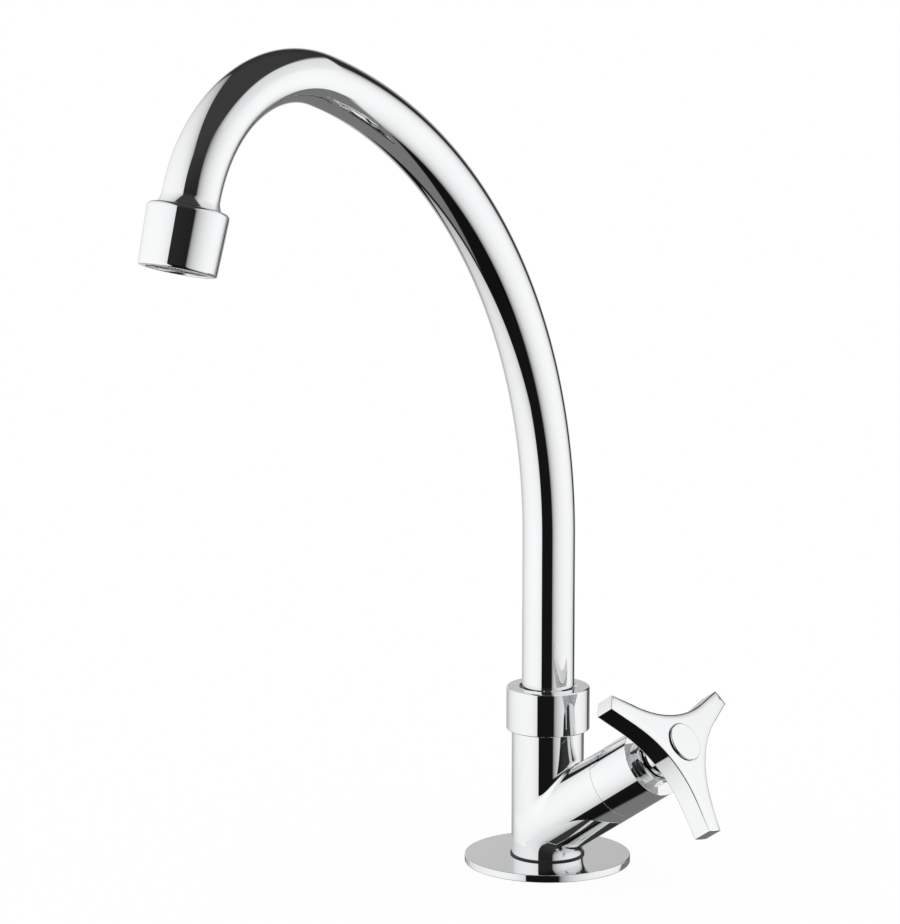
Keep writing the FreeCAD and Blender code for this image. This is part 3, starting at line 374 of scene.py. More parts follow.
def soften(outline, radius, arc_steps=4):
    """Round each corner of a closed outline that turns by more than SHARP_TURN.

    A rounding takes at most LONGEST_CUT of a side, and corners on the axis stay sharp.
    """
    rounded = []
    count = len(outline)
    for index in range(count):
        corner = Vector(outline[index])
        back = Vector(outline[index - 1]) - corner
        ahead = Vector(outline[(index + 1) % count]) - corner
        if corner.x == 0 or min(back.length, ahead.length) == 0:
            rounded.append(tuple(corner))
            continue
        opening = back.angle(ahead)
        if math.pi - opening < SHARP_TURN:
            rounded.append(tuple(corner))
            continue
        reach = min(radius / math.tan(opening / 2), back.length * LONGEST_CUT,
                    ahead.length * LONGEST_CUT)
        start = corner + back.normalized() * reach
        end = corner + ahead.normalized() * reach
        middle = (back.normalized() + ahead.normalized()).normalized()
        centre = corner + middle * reach / math.cos(opening / 2)
        for step in range(arc_steps + 1):
            chord = start.lerp(end, step / arc_steps) - centre
            rounded.append(tuple(centre + chord.normalized() * (start - centre).length))
    return rounded


def close_edit():
    """Turn all faces outwards, leave edit mode and move the object's place into its mesh."""
    bpy.ops.mesh.select_all(action="SELECT")
    bpy.ops.mesh.normals_make_consistent(inside=False)
    bpy.ops.object.mode_set(mode="OBJECT")
    bpy.ops.object.transform_apply(location=True, rotation=True, scale=True)


def lathe(name, outline, steps=RING_STEPS):
    """Turn an outline of (radius, height) corners about Z, one extruded ring a corner.

    An outline that starts on the axis makes a solid, and its tiny rings there merge to a pole. Any
    other outline is closed to a ring.
    """
    closed = outline[0][0] > 0
    rings = [(max(radius, POLE_RADIUS), height) for radius, height in outline]
    bpy.ops.object.select_all(action="DESELECT")
    radius, height = rings[0]
    bpy.ops.mesh.primitive_circle_add(vertices=steps, radius=radius, location=(0, 0, height))
    turned = bpy.context.object
    turned.name = name
    bpy.ops.object.mode_set(mode="EDIT")
    bpy.ops.mesh.select_all(action="SELECT")
    for next_radius, next_height in rings[1:] + (rings[:1] if closed else []):
        bpy.ops.mesh.extrude_edges_move(
            TRANSFORM_OT_translate={"value": (0, 0, next_height - height)})
        size = next_radius / radius
        bpy.ops.transform.resize(value=(size, size, 1), center_override=(0, 0, next_height))
        radius, height = next_radius, next_height
    bpy.ops.mesh.select_all(action="SELECT")
    bpy.ops.mesh.remove_doubles(threshold=WELD if closed else 2.5 * POLE_RADIUS)
    close_edit()
    return turned


def pick(*pieces):
    """Select these pieces and nothing else, with the first one active."""
    bpy.ops.object.select_all(action="DESELECT")
    for piece in pieces:
        piece.select_set(True)
    bpy.context.view_layer.objects.active = pieces[0]


def apply_modifier(piece, kind, **settings):
    """Add a modifier with its settings and apply it."""
    pick(piece)
    modifier = piece.modifiers.new(kind.lower(), kind)
    for name, value in settings.items():
        setattr(modifier, name, value)
    bpy.ops.object.modifier_apply(modifier=modifier.name)


def combine(piece, other, operation):
    """Add, subtract or intersect another solid, which is used up."""
    apply_modifier(piece, "BOOLEAN", operation=operation, solver="EXACT", object=other)
    bpy.data.objects.remove(other, do_unlink=True)


def smooth(piece, limit=EDGE_LIMIT):
    """Shade smooth over edges that turn by less than limit degrees, and keep flat faces flat."""
    pick(piece)
    bpy.ops.object.shade_smooth_by_angle(angle=math.radians(limit))
    apply_modifier(piece, "WEIGHTED_NORMAL", weight=100, keep_sharp=True)


def put(piece, place):
    """Move a piece's mesh to its place and leave its object at the origin."""
    piece.data.transform(place)
    piece.data.update()
    return piece


def dress(piece, material, body, slot, *replaced):
    """Give a piece its finish, its body and the nodes that it stands for."""
    piece.data.materials.clear()
    piece.data.materials.append(material)
    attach(piece, body)
    if replaced:
        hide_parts(*replaced)


plate_low, plate_top, plate_radius = span("base_plate")
shank_radius = span("inlet_shank")[2]
plate_hole = shank_radius + PLATE_HOLE_GAP
base_plate = lathe("base_plate", soften([
    (plate_hole, plate_low), (plate_radius, plate_low), (plate_radius, plate_top),
    (plate_hole, plate_top)], PLATE_EDGE))
smooth(base_plate)
dress(base_plate, polished_chrome, "base_unit", "polished_chrome", "base_plate")

# Rubber seals at the foot
# A flat gasket lies in a groove under the plate, and a thin black ring parts the plate from the
# body. The washer under the worktop, the O-rings and the lip seal are of the same rubber.
black_rubber = moulded("black_rubber", (0.022, 0.022, 0.024, 1), (0.012, 0.012, 0.013, 1),
                       rough=(0.45, 0.62), ripple=(900.0, 6e-6), specular=0.35)


def give_finish(material, *names):
    """Give a material to each piece that is shown as it was packed."""
    for name in names:
        nodes[name].data.materials.clear()
        nodes[name].data.materials.append(material)


give_finish(black_rubber, "base_gasket", "foot_seal", "clamp_rubber", "spigot_o_rings",
            "stem_o_rings", "headwork_gasket", "lip_seal", "aerator_gasket")

# Inlet shank
# A brass tube screwed into the foot of the body. A G1/2 thread runs down it for the lock nut and
# the supply hose, with a turned relief under the nut.
THREAD_PITCH = 1.814 * MM
THREAD_DEPTH = 1.16 * MM
THREAD_STEPS = 36
# What a flank, and a flat at root or crest, take of the pitch
FLANK_SHARE = 0.42
FLAT_SHARE = 0.08
RELIEF_RADIUS = 9.6 * MM
RELIEF_GAP = 0.5 * MM
RELIEF_LENGTH = 2.0 * MM
SHANK_BORE = 6.0 * MM
SHANK_CHAMFER = 1.2 * MM
natural_brass = metal("natural_brass", (0.80, 0.61, 0.30, 1), (0.64, 0.45, 0.20, 1),
                      rough=(0.16, 0.30), ripple=(500.0, 4e-6), stretch=6.0, blotch=90.0)
shank_low, shank_top, _ = span("inlet_shank")
nut_low, nut_top, nut_corner = span("lock_nut")
relief_top = nut_low - RELIEF_GAP
relief_low = relief_top - RELIEF_LENGTH


def start_point(name, place):
    """Start a mesh as a single point, and stay in edit mode."""
    bpy.ops.object.select_all(action="DESELECT")
    bpy.ops.mesh.primitive_plane_add(size=MM)
    piece = bpy.context.object
    piece.name = name
    bpy.ops.object.mode_set(mode="EDIT")
    bpy.ops.mesh.select_all(action="SELECT")
    bpy.ops.mesh.merge(type="CENTER")
    bpy.ops.transform.translate(value=place)
    return piece


def threaded_rod(name, low, top):
    """A closed rod with a helical thread, about a pitch longer than asked at each end."""
    turns = math.ceil((top - low) / THREAD_PITCH) + 2
    rod = start_point(name, (shank_radius - THREAD_DEPTH, 0, low - 1.5 * THREAD_PITCH))
    for across, up in ((THREAD_DEPTH, FLANK_SHARE), (0, FLAT_SHARE),
                       (-THREAD_DEPTH, FLANK_SHARE), (0, FLAT_SHARE)):
        bpy.ops.mesh.extrude_vertices_move(
            TRANSFORM_OT_translate={"value": (across, 0, up * THREAD_PITCH)})
    bpy.ops.object.mode_set(mode="OBJECT")
    apply_modifier(rod, "SCREW", axis="Z", angle=math.tau, screw_offset=THREAD_PITCH,
                   iterations=turns, steps=THREAD_STEPS, render_steps=THREAD_STEPS,
                   use_merge_vertices=True, merge_threshold=WELD)
    bpy.ops.object.mode_set(mode="EDIT")
    bpy.ops.mesh.select_all(action="SELECT")
    bpy.ops.mesh.remove_doubles(threshold=WELD)
    for lower_end in (True, False):
        # Each open end gets a face of its own
        bpy.ops.mesh.select_all(action="DESELECT")
        bpy.ops.mesh.select_non_manifold(extend=False)
        bpy.ops.object.mode_set(mode="OBJECT")
        for edge in rod.data.edges:
            height = rod.data.vertices[edge.vertices[0]].co.z
            edge.select = edge.select and (height < (low + top) / 2) == lower_end
        open_edges = [edge.index for edge in rod.data.edges if edge.select]
        rod.data.vertices.foreach_set("select", [False] * len(rod.data.vertices))
        for number in open_edges:
            for corner in rod.data.edges[number].vertices:
                rod.data.vertices[corner].select = True
        bpy.ops.object.mode_set(mode="EDIT")
        bpy.ops.mesh.edge_face_add()
    close_edit()
    return rod


inlet_shank = threaded_rod("inlet_shank", shank_low, shank_top)
combine(inlet_shank, lathe("shank_blank", [
    (SHANK_BORE, shank_low), (shank_radius - SHANK_CHAMFER, shank_low),
    (shank_radius, shank_low + SHANK_CHAMFER), (shank_radius, relief_low),
    (RELIEF_RADIUS, relief_low), (RELIEF_RADIUS, relief_top), (shank_radius, relief_top),
    (shank_radius, shank_top - SHANK_CHAMFER), (shank_radius - SHANK_CHAMFER, shank_top),
    (SHANK_BORE, shank_top)]), "INTERSECT")
smooth(inlet_shank)
dress(inlet_shank, natural_brass, "base_unit", "natural_brass", "inlet_shank")

# Clamping set
# A steel washer spreads the load on the rubber one, and a hexagon nut with chamfered corners draws
# the tap down. Both are pressed steel with a dull zinc plating.
WASHER_GAP = 0.4 * MM
WASHER_EDGE = 0.35 * MM
HEXAGON_TURN = math.radians(30)
HEXAGON_MARGIN = 0.05 * MM
CORNER_CHAMFER = 1.4 * MM
CHAMFER_SLOPE = math.radians(30)
CORNER_DROP = 0.3 * MM
HOLE_CHAMFER = 0.6 * MM
FACE_INSET = 0.2 * MM
NUT_LIMIT = 25
plated_steel = metal("plated_steel", (0.62, 0.63, 0.64, 1), (0.46, 0.47, 0.50, 1),
                     rough=(0.24, 0.42), ripple=(260.0, 8e-6), blotch=70.0)
washer_low, washer_top, washer_radius = span("clamp_washer")
washer_hole = shank_radius + WASHER_GAP
clamp_washer = lathe("clamp_washer", soften([
    (washer_hole, washer_low), (washer_radius, washer_low),
    (washer_radius, washer_top), (washer_hole, washer_top)], WASHER_EDGE))
smooth(clamp_washer)
dress(clamp_washer, plated_steel, "base_unit", "plated_steel", "clamp_washer")

bpy.ops.object.select_all(action="DESELECT")
bpy.ops.mesh.primitive_cylinder_add(
    vertices=6, radius=nut_corner, depth=nut_top - nut_low,
    location=(0, 0, (nut_top + nut_low) / 2), rotation=(0, 0, HEXAGON_TURN))
lock_nut = bpy.context.object
lock_nut.name = "lock_nut"
bpy.ops.object.transform_apply(location=True, rotation=True, scale=True)
# It has a corner on X now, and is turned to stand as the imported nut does
corner = max(nodes["lock_nut"].data.vertices, key=lambda vertex: vertex.co.xy.length).co
put(lock_nut, Matrix.Rotation(math.atan2(corner.y, corner.x), 4, "Z"))
nut_face = nut_corner * math.cos(math.pi / 6) - FACE_INSET
nut_blank = nut_corner + HEXAGON_MARGIN
nut_hole = shank_radius + HOLE_CHAMFER
chamfer_drop = CORNER_CHAMFER * math.tan(CHAMFER_SLOPE) + CORNER_DROP
combine(lock_nut, lathe("nut_blank", [
    (shank_radius, nut_low + HOLE_CHAMFER), (nut_hole, nut_low), (nut_face, nut_low),
    (nut_blank, nut_low + chamfer_drop), (nut_blank, nut_top - chamfer_drop),
    (nut_face, nut_top), (nut_hole, nut_top), (shank_radius, nut_top - HOLE_CHAMFER)]),
    "INTERSECT")
smooth(lock_nut, NUT_LIMIT)
dress(lock_nut, plated_steel, "base_unit", "plated_steel", "lock_nut")

# Body
# The body is one brass casting: an upright barrel with the valve's branch growing out of its side.
# It is bored for the spout, the shank and the valve, then ground, polished and chromed.
BODY_RADIUS = 13.1 * MM
BODY_TOP = 49.6 * MM
NECK_RADIUS = 12.4 * MM
BRANCH_HEIGHT = 13.15 * MM
BRANCH_RADIUS = 13.15 * MM
BLEND = 1.8 * MM
BLEND_FADE = 6.0 * MM
BLEND_LEAST = 0.01
BLEND_PASSES = 4
WALL_SLACK = 0.02 * MM
OUTWARD_NORMAL = 0.9
RING_HEIGHT = 0.6 * MM
BORE_STEPS = 64
FOOT_STEPS = 48
BARREL_STUB = 1.0 * MM
CROTCH_TOP = 42.0 * MM
CROTCH_END = 29.0 * MM
SPOUT_BORE = 9.95 * MM
FLANGE_BORE = 11.2 * MM
BORE_FLOOR = 28.0 * MM
INLET_TOP = 17.0 * MM
VALVE_ROOM = 10.0 * MM
VALVE_SEAT = 16.0 * MM
VALVE_WAY = 5.0 * MM
branch_axis = Vector(joints["handle_turn"]["axis"]).normalized()
branch_base = Vector((0, 0, BRANCH_HEIGHT))
to_branch = Matrix.Translation(branch_base) @ UP.rotation_difference(
    branch_axis).to_matrix().to_4x4()
foot_top = span("foot_seal")[1]
neck_top = span("tap_body")[1]
sleeve_low, sleeve_high, sleeve_radius = span("valve_sleeve", branch_base, branch_axis)
ring_shelf = span("lower_slip_ring")[0]


def off_casting(place):
    """How far a place stands off the barrel and branch, and which way is out.

    The two cylinders run into each other over BLEND, as a ground fillet does, and the fillet dies
    out round the barrel on the side away from the branch.
    """
    arm = place - branch_base
    along = arm.dot(branch_axis)
    barrel_arm = Vector((place.x, place.y, 0))
    branch_arm = arm - branch_axis * along
    behind = max(-along, 0)
    barrel_gap = barrel_arm.length - BODY_RADIUS
    branch_gap = branch_arm.length - BRANCH_RADIUS + behind ** 2 / BODY_RADIUS
    width = BLEND * max(1 - behind / BLEND_FADE, BLEND_LEAST)
    near = max(width - abs(barrel_gap - branch_gap), 0) / width
    gap = min(barrel_gap, branch_gap) - near ** 2 * width / 4
    barrel_share = 1 - near / 2 if barrel_gap < branch_gap else near / 2
    out = barrel_arm.normalized() * barrel_share + branch_arm.normalized() * (1 - barrel_share)
    return gap, out.normalized()


def ringed_wall(radius, low, fine_top, top):
    """A turned solid's outline whose wall is cut into short rings up to fine_top."""
    rings = round((fine_top - low) / RING_HEIGHT)
    heights = [low + (fine_top - low) * step / rings for step in range(rings + 1)]
    return [(0, low)] + [(radius, height) for height in heights] + [(radius, top)]


def on_wall(place):
    """Whether a place lies on the outside of the barrel or the branch, before they are blended."""
    arm = place - branch_base
    along = arm.dot(branch_axis)
    from_barrel = abs(place.xy.length - BODY_RADIUS)
    from_branch = abs((arm - branch_axis * along).length - BRANCH_RADIUS)
    return min(from_barrel, from_branch) < WALL_SLACK


tap_body = lathe("tap_body", ringed_wall(BODY_RADIUS, BARREL_STUB, CROTCH_TOP, BODY_TOP) + [
    (NECK_RADIUS, BODY_TOP), (NECK_RADIUS, neck_top), (0, neck_top)])
branch = lathe("branch", ringed_wall(BRANCH_RADIUS, 0, CROTCH_END, sleeve_low) + [(0, sleeve_low)])
combine(tap_body, put(branch, to_branch), "UNION")
for vertex in tap_body.data.vertices:
    if on_wall(vertex.co):
        for _ in range(BLEND_PASSES):
            gap, out = off_casting(vertex.co)
            vertex.co -= out * gap
combine(tap_body, lathe("foot_cut", [
    (0, 0), (2 * BODY_RADIUS, 0), (2 * BODY_RADIUS, foot_top), (0, foot_top)], FOOT_STEPS),
    "DIFFERENCE")
combine(tap_body, lathe("spout_bore", [
    (0, BORE_FLOOR), (SPOUT_BORE, BORE_FLOOR), (SPOUT_BORE, ring_shelf),
    (FLANGE_BORE, ring_shelf), (FLANGE_BORE, neck_top + MM), (0, neck_top + MM)], BORE_STEPS),
    "DIFFERENCE")
combine(tap_body, lathe("inlet_bore", [
    (0, foot_top - MM), (shank_radius, foot_top - MM), (shank_radius, shank_top),
    (SHANK_BORE, shank_top), (SHANK_BORE, INLET_TOP), (0, INLET_TOP)], BORE_STEPS),
    "DIFFERENCE")
valve_bore = lathe("valve_bore", [
    (0, 0), (VALVE_WAY, 0), (VALVE_WAY, VALVE_SEAT), (VALVE_ROOM, VALVE_SEAT),
    (VALVE_ROOM, sleeve_low + MM), (0, sleeve_low + MM)], BORE_STEPS)
combine(tap_body, put(valve_bore, to_branch), "DIFFERENCE")
smooth(tap_body)
# The outside is shaded by the casting's own normals, so that the blend reflects without facets
mesh = tap_body.data
normals = [corner.vector.copy() for corner in mesh.corner_normals]
for face in mesh.polygons:
    gap, out = off_casting(face.center)
    if abs(gap) < 3 * WALL_SLACK and out.dot(face.normal) > OUTWARD_NORMAL:
        for corner in face.loop_indices:
            place = mesh.vertices[mesh.loops[corner].vertex_index].co
            normals[corner] = off_casting(place)[1]
mesh.normals_split_custom_set([tuple(normal) for normal in normals])
dress(tap_body, polished_chrome, "base_unit", "polished_chrome", "tap_body")

# Spout's foot
# The brass spigot turns in the body on two O-rings, and white acetal rings run above and below
# its flange.
white_acetal = moulded("white_acetal", (0.86, 0.86, 0.84, 1), (0.80, 0.80, 0.77, 1),
                       rough=(0.32, 0.45), ripple=(700.0, 2e-6), specular=0.45)
give_finish(natural_brass, "spout_spigot")
give_finish(white_acetal, "lower_slip_ring", "upper_slip_ring")

# Collar nut
# A smooth round nut of chromed brass, screwed on the body's neck by hand and strap. It keeps the
# spout's flange down, and its rim is chamfered round the tube.
COLLAR_HOLE = 9.7 * MM
COLLAR_FOOT_CHAMFER = 0.3 * MM
COLLAR_RIM_CHAMFER = 0.4 * MM
COLLAR_HOLE_CHAMFER = 0.9 * MM
COLLAR_EDGE = 0.12 * MM
EDGE_STEPS = 3
collar_low, collar_top, collar_radius = span("collar_nut")
collar_shelf = span("upper_slip_ring")[1]
collar_nut = lathe("collar_nut", soften([
    (NECK_RADIUS, collar_low), (collar_radius - COLLAR_FOOT_CHAMFER, collar_low),
    (collar_radius, collar_low + COLLAR_FOOT_CHAMFER),
    (collar_radius, collar_top - COLLAR_RIM_CHAMFER),
    (collar_radius - COLLAR_RIM_CHAMFER, collar_top),
    (COLLAR_HOLE + COLLAR_HOLE_CHAMFER, collar_top),
    (COLLAR_HOLE, collar_top - COLLAR_HOLE_CHAMFER), (COLLAR_HOLE, collar_shelf),
    (NECK_RADIUS, collar_shelf)], COLLAR_EDGE, EDGE_STEPS))
smooth(collar_nut)
dress(collar_nut, polished_chrome, "base_unit", "polished_chrome", "collar_nut")

# Spout tube
# Drawn brass tube of 19 mm with a 1 mm wall, bent on a mandrel: straight up, over a wide bend and
# round a tight crook that ends leaning back towards the body. Polished and chromed.
TUBE_RADIUS = 9.5 * MM
TUBE_WALL = 1.0 * MM
TUBE_STEPS = 96
RISE_HEIGHT = 120.6 * MM
RISE_BEND = 181.15 * MM
RISE_TURN = math.radians(71.4)
CROOK_BEND = 49.4 * MM
OUTLET_TURN = math.radians(163.4)
OUTLET_RUN = 0.5 * MM
RISE_RINGS = 110
CROOK_RINGS = 90
DRAW_IN = 0.06
DRAW_START = math.radians(35)
DRAW_END = math.radians(160)
DRAW_FADE = math.radians(36)
tube_low = span("spout_tube")[0]
rise_centre = Vector((0, -RISE_BEND, RISE_HEIGHT))
crook_centre = rise_centre + (RISE_BEND - CROOK_BEND) * Vector(
    (0, math.cos(RISE_TURN), math.sin(RISE_TURN)))
outlet_axis = Vector((0, -math.sin(OUTLET_TURN), math.cos(OUTLET_TURN)))
bpy.ops.object.select_all(action="DESELECT")
bpy.ops.mesh.primitive_circle_add(
    vertices=TUBE_STEPS, radius=TUBE_RADIUS, location=(0, 0, tube_low))
spout_tube = bpy.context.object
spout_tube.name = "spout_tube"
bpy.ops.object.mode_set(mode="EDIT")
bpy.ops.mesh.select_all(action="SELECT")
bpy.ops.mesh.extrude_edges_move(TRANSFORM_OT_translate={"value": (0, 0, RISE_HEIGHT - tube_low)})
bpy.ops.mesh.spin(steps=RISE_RINGS, angle=-RISE_TURN, center=rise_centre, axis=(1, 0, 0))
bpy.ops.mesh.spin(
    steps=CROOK_RINGS, angle=RISE_TURN - OUTLET_TURN, center=crook_centre, axis=(1, 0, 0))
bpy.ops.mesh.extrude_edges_move(TRANSFORM_OT_translate={"value": outlet_axis * OUTLET_RUN})
close_edit()
for vertex in spout_tube.data.vertices:
    # Bending draws the tube in a little, towards its middle line, most of all round the crook
    place = vertex.co
    angle = math.atan2(place.z - rise_centre.z, place.y - rise_centre.y)
    centre, bend = rise_centre, RISE_BEND
    if angle > RISE_TURN:
        angle = math.atan2(place.z - crook_centre.z, place.y - crook_centre.y) % math.tau
        centre, bend = crook_centre, CROOK_BEND
    if DRAW_START < angle < DRAW_END:
        share = min(1, min(angle - DRAW_START, DRAW_END - angle) / DRAW_FADE)
        arm = Vector((0, math.cos(angle), math.sin(angle)))
        off = (place - centre).dot(arm) - bend
        vertex.co = place - arm * off * DRAW_IN * share ** 2 * (3 - 2 * share)
apply_modifier(spout_tube, "SOLIDIFY", thickness=TUBE_WALL, offset=-1, use_rim=True)
bpy.ops.object.shade_smooth_by_angle(angle=math.radians(EDGE_LIMIT))
dress(spout_tube, polished_chrome, "spout_unit", "polished_chrome", "spout_tube")

# Outlet bush
# A chromed brass bush soldered into the tube's end. It flares to a shoulder for the aerator and
# carries the aerator's thread out of sight.
FLARE_RADIUS = 10.75 * MM
FLARE_LENGTH = 3.4 * MM
FLARE_POWER = 1.6
FLARE_STEPS = 12
BUSH_BORE = 6.5 * MM
AERATOR_THREAD = 11.0 * MM
PLUG_RINGS = 6
tube_end = crook_centre + CROOK_BEND * Vector(
    (0, math.cos(OUTLET_TURN), math.sin(OUTLET_TURN))) + outlet_axis * OUTLET_RUN
to_outlet = Matrix.Translation(tube_end) @ UP.rotation_difference(
    outlet_axis).to_matrix().to_4x4()
bush_low, bush_high, _ = span("outlet_bush", tube_end, outlet_axis)
bush_inner = TUBE_RADIUS - TUBE_WALL
flare_outline = []
for step in range(FLARE_STEPS + 1):
    share = step / FLARE_STEPS
    flare_outline.append((TUBE_RADIUS + (FLARE_RADIUS - TUBE_RADIUS) * share ** FLARE_POWER,
                          FLARE_LENGTH * share))
plug_depths = [bush_low * ring / PLUG_RINGS for ring in range(PLUG_RINGS + 1)]
outlet_bush = lathe("outlet_bush", [
    (bush_inner, depth) for depth in reversed(plug_depths)] + flare_outline + [
    (AERATOR_THREAD, FLARE_LENGTH), (AERATOR_THREAD, bush_high), (BUSH_BORE, bush_high)] + [
    (BUSH_BORE, depth) for depth in plug_depths])
put(outlet_bush, to_outlet)
for vertex in outlet_bush.data.vertices:
    # The plug follows the bend of the tube that it is soldered into
    depth = (vertex.co - tube_end).dot(outlet_axis)
    if depth < 0:
        abreast = vertex.co - outlet_axis * depth - crook_centre
        vertex.co = crook_centre + Matrix.Rotation(depth / CROOK_BEND, 3, "X") @ abreast
smooth(outlet_bush)
dress(outlet_bush, polished_chrome, "spout_unit", "polished_chrome", "outlet_bush")

# Aerator
# A chromed cup with a rounded shoulder holds a sieve, a white plastic insert that breaks the water
# into jets, and a woven steel gauze that shows in its mouth behind a turned-in lip.
CUP_TOP_RADIUS = 13.45 * MM
CUP_MOUTH_RADIUS = 12.9 * MM
CUP_LIP_RADIUS = 10.2 * MM
CUP_LIP_THICK = 1.2 * MM
SHOULDER_ROUND = 1.6 * MM
MOUTH_ROUND = 0.9 * MM
LIP_ROUND = 0.4 * MM
ARC_STEPS = 6
GAUZE_PITCH = 0.75 * MM
WIRE_RADIUS = 0.13 * MM
WIRE_END_GAP = 0.1 * MM
WIRE_EDGE_LIMIT = 50
GAUZE_RIM = 0.7 * MM
GAUZE_RIM_EDGE = 0.1 * MM
GAUZE_RIM_STEPS = 72
RIM_OVERLAP = 0.5 * MM
steel_gauze = metal("steel_gauze", (0.50, 0.51, 0.53, 1), (0.30, 0.31, 0.33, 1),
                    rough=(0.22, 0.38), ripple=(900.0, 2e-6))
cup_low, cup_high, _ = span("aerator_housing", tube_end, outlet_axis)
lip_face = cup_high - CUP_LIP_THICK


def corner_arc(centre, radius, first, last):
    """Points of a rounded corner, from one angle to another in degrees."""
    points = []
    for step in range(ARC_STEPS + 1):
        angle = math.radians(first + (last - first) * step / ARC_STEPS)
        points.append((centre[0] + radius * math.cos(angle), centre[1] + radius * math.sin(angle)))
    return points


cup_outline = [(AERATOR_THREAD, cup_low)]
cup_outline += corner_arc((CUP_TOP_RADIUS - SHOULDER_ROUND, cup_low + SHOULDER_ROUND),
                          SHOULDER_ROUND, -90, 0)
cup_outline += corner_arc((CUP_MOUTH_RADIUS - MOUTH_ROUND, cup_high - MOUTH_ROUND),
                          MOUTH_ROUND, 0, 90)
cup_outline += corner_arc((CUP_LIP_RADIUS + LIP_ROUND, cup_high - LIP_ROUND), LIP_ROUND, 90, 180)
cup_outline += [(CUP_LIP_RADIUS, lip_face), (AERATOR_THREAD, lip_face)]
aerator_housing = lathe("aerator_housing", cup_outline)
smooth(aerator_housing)
dress(put(aerator_housing, to_outlet), polished_chrome, "spout_unit", "polished_chrome",
      "aerator_housing")

mesh_low, mesh_high, mesh_radius = span("aerator_mesh", tube_end, outlet_axis)
mesh_middle = (mesh_low + mesh_high) / 2


def gauze_wire(number, along_x):
    """One wire of the gauze, waving over and under the wires that cross it."""
    offset = number * GAUZE_PITCH
    half = math.sqrt(max(mesh_radius ** 2 - offset ** 2, 0)) - WIRE_END_GAP
    bends = int(2 * half / GAUZE_PITCH) * 2
    bpy.ops.curve.primitive_bezier_curve_add()
    wire_curve = bpy.context.object
    wire_curve.data.splines.clear()
    spline = wire_curve.data.splines.new("POLY")
    spline.points.add(bends)
    for index, point in enumerate(spline.points):
        run = -half + 2 * half * index / bends
        side = 1 if along_x else -1
        phase = run / GAUZE_PITCH * math.pi + number * math.pi
        lift = side * WIRE_RADIUS * math.cos(phase)
        point.co = ((run, offset, lift, 1) if along_x else (offset, run, lift, 1))
    wire_curve.data.bevel_depth = WIRE_RADIUS
    wire_curve.data.bevel_resolution = 0
    wire_curve.data.use_fill_caps = True
    return wire_curve


wires = []
wire_count = int(mesh_radius / GAUZE_PITCH)
bpy.ops.object.select_all(action="DESELECT")
for number in range(-wire_count, wire_count + 1):
    for along_x in (True, False):
        if abs(number) * GAUZE_PITCH < mesh_radius - RIM_OVERLAP:
            wires.append(gauze_wire(number, along_x))
pick(*wires)
bpy.ops.object.convert(target="MESH")
bpy.ops.object.join()
gauze = bpy.context.object
gauze.name = "aerator_mesh"
put(gauze, to_outlet @ Matrix.Translation((0, 0, mesh_middle)))
rim = lathe("gauze_rim", soften([
    (mesh_radius - GAUZE_RIM, mesh_low), (mesh_radius, mesh_low), (mesh_radius, mesh_high),
    (mesh_radius - GAUZE_RIM, mesh_high)], GAUZE_RIM_EDGE, 2), GAUZE_RIM_STEPS)
pick(gauze, put(rim, to_outlet))
bpy.ops.object.join()
bpy.ops.object.shade_smooth_by_angle(angle=math.radians(WIRE_EDGE_LIMIT))
dress(gauze, steel_gauze, "spout_unit", "steel_gauze", "aerator_mesh")
give_finish(white_acetal, "aerator_insert")
give_finish(steel_gauze, "aerator_sieve")

# Quarter-turn valve
# The headwork is a brass housing screwed into the branch. Two ceramic discs with ports turn on
# each other inside it, driven by a brass spindle with a splined end.
alumina_ceramic = moulded("alumina_ceramic", (0.90, 0.88, 0.82, 1), (0.84, 0.81, 0.75, 1),
                          rough=(0.12, 0.2), ripple=(600.0, 1e-6))
grey_plastic = moulded("grey_plastic", (0.34, 0.35, 0.37, 1), (0.28, 0.29, 0.31, 1),
                       rough=(0.35, 0.5), ripple=(600.0, 2e-6))
give_finish(natural_brass, "headwork_housing", "spindle")
give_finish(alumina_ceramic, "fixed_disc", "moving_disc")
give_finish(grey_plastic, "thrust_washer")
give_finish(plated_steel, "stem_circlip", "handle_screw")

# Valve sleeve
# A chromed cup over the headwork that carries the branch's line on to the handle. It butts on the
# body with a fine seam, and its flat end has a hole for the neck nut.
SLEEVE_WALL = 1.25 * MM
SLEEVE_END_WALL = 2.0 * MM
SLEEVE_HOLE = 8.0 * MM
SEAM_ROUND = 0.18 * MM
sleeve_bore = sleeve_radius - SLEEVE_WALL
valve_sleeve = lathe("valve_sleeve", soften([
    (sleeve_bore, sleeve_low), (sleeve_radius, sleeve_low), (sleeve_radius, sleeve_high),
    (SLEEVE_HOLE, sleeve_high), (SLEEVE_HOLE, sleeve_high - SLEEVE_END_WALL),
    (sleeve_bore, sleeve_high - SLEEVE_END_WALL)], SEAM_ROUND, EDGE_STEPS))
smooth(valve_sleeve)
dress(put(valve_sleeve, to_branch), polished_chrome, "base_unit", "polished_chrome",
      "valve_sleeve")

# Neck nut
# A thin chromed ring nut on the headwork's neck that holds the sleeve on. The spindle comes out
# through its middle.
SKIRT_RADIUS = 8.0 * MM
SKIRT_BORE = 6.9 * MM
STEM_HOLE = 5.2 * MM
RING_LIP = 0.6 * MM
RING_CHAMFER = 0.5 * MM
RING_EDGE = 0.12 * MM
ring_low, ring_high, ring_radius = span("neck_nut", branch_base, branch_axis)
neck_nut = lathe("neck_nut", soften([
    (SKIRT_BORE, ring_low), (SKIRT_RADIUS, ring_low), (SKIRT_RADIUS, sleeve_high),
    (ring_radius, sleeve_high), (ring_radius, ring_high - RING_CHAMFER),
    (ring_radius - RING_CHAMFER, ring_high), (STEM_HOLE, ring_high),
    (STEM_HOLE, ring_high - RING_LIP), (SKIRT_BORE, ring_high - RING_LIP)],
    RING_EDGE, EDGE_STEPS))
smooth(neck_nut)
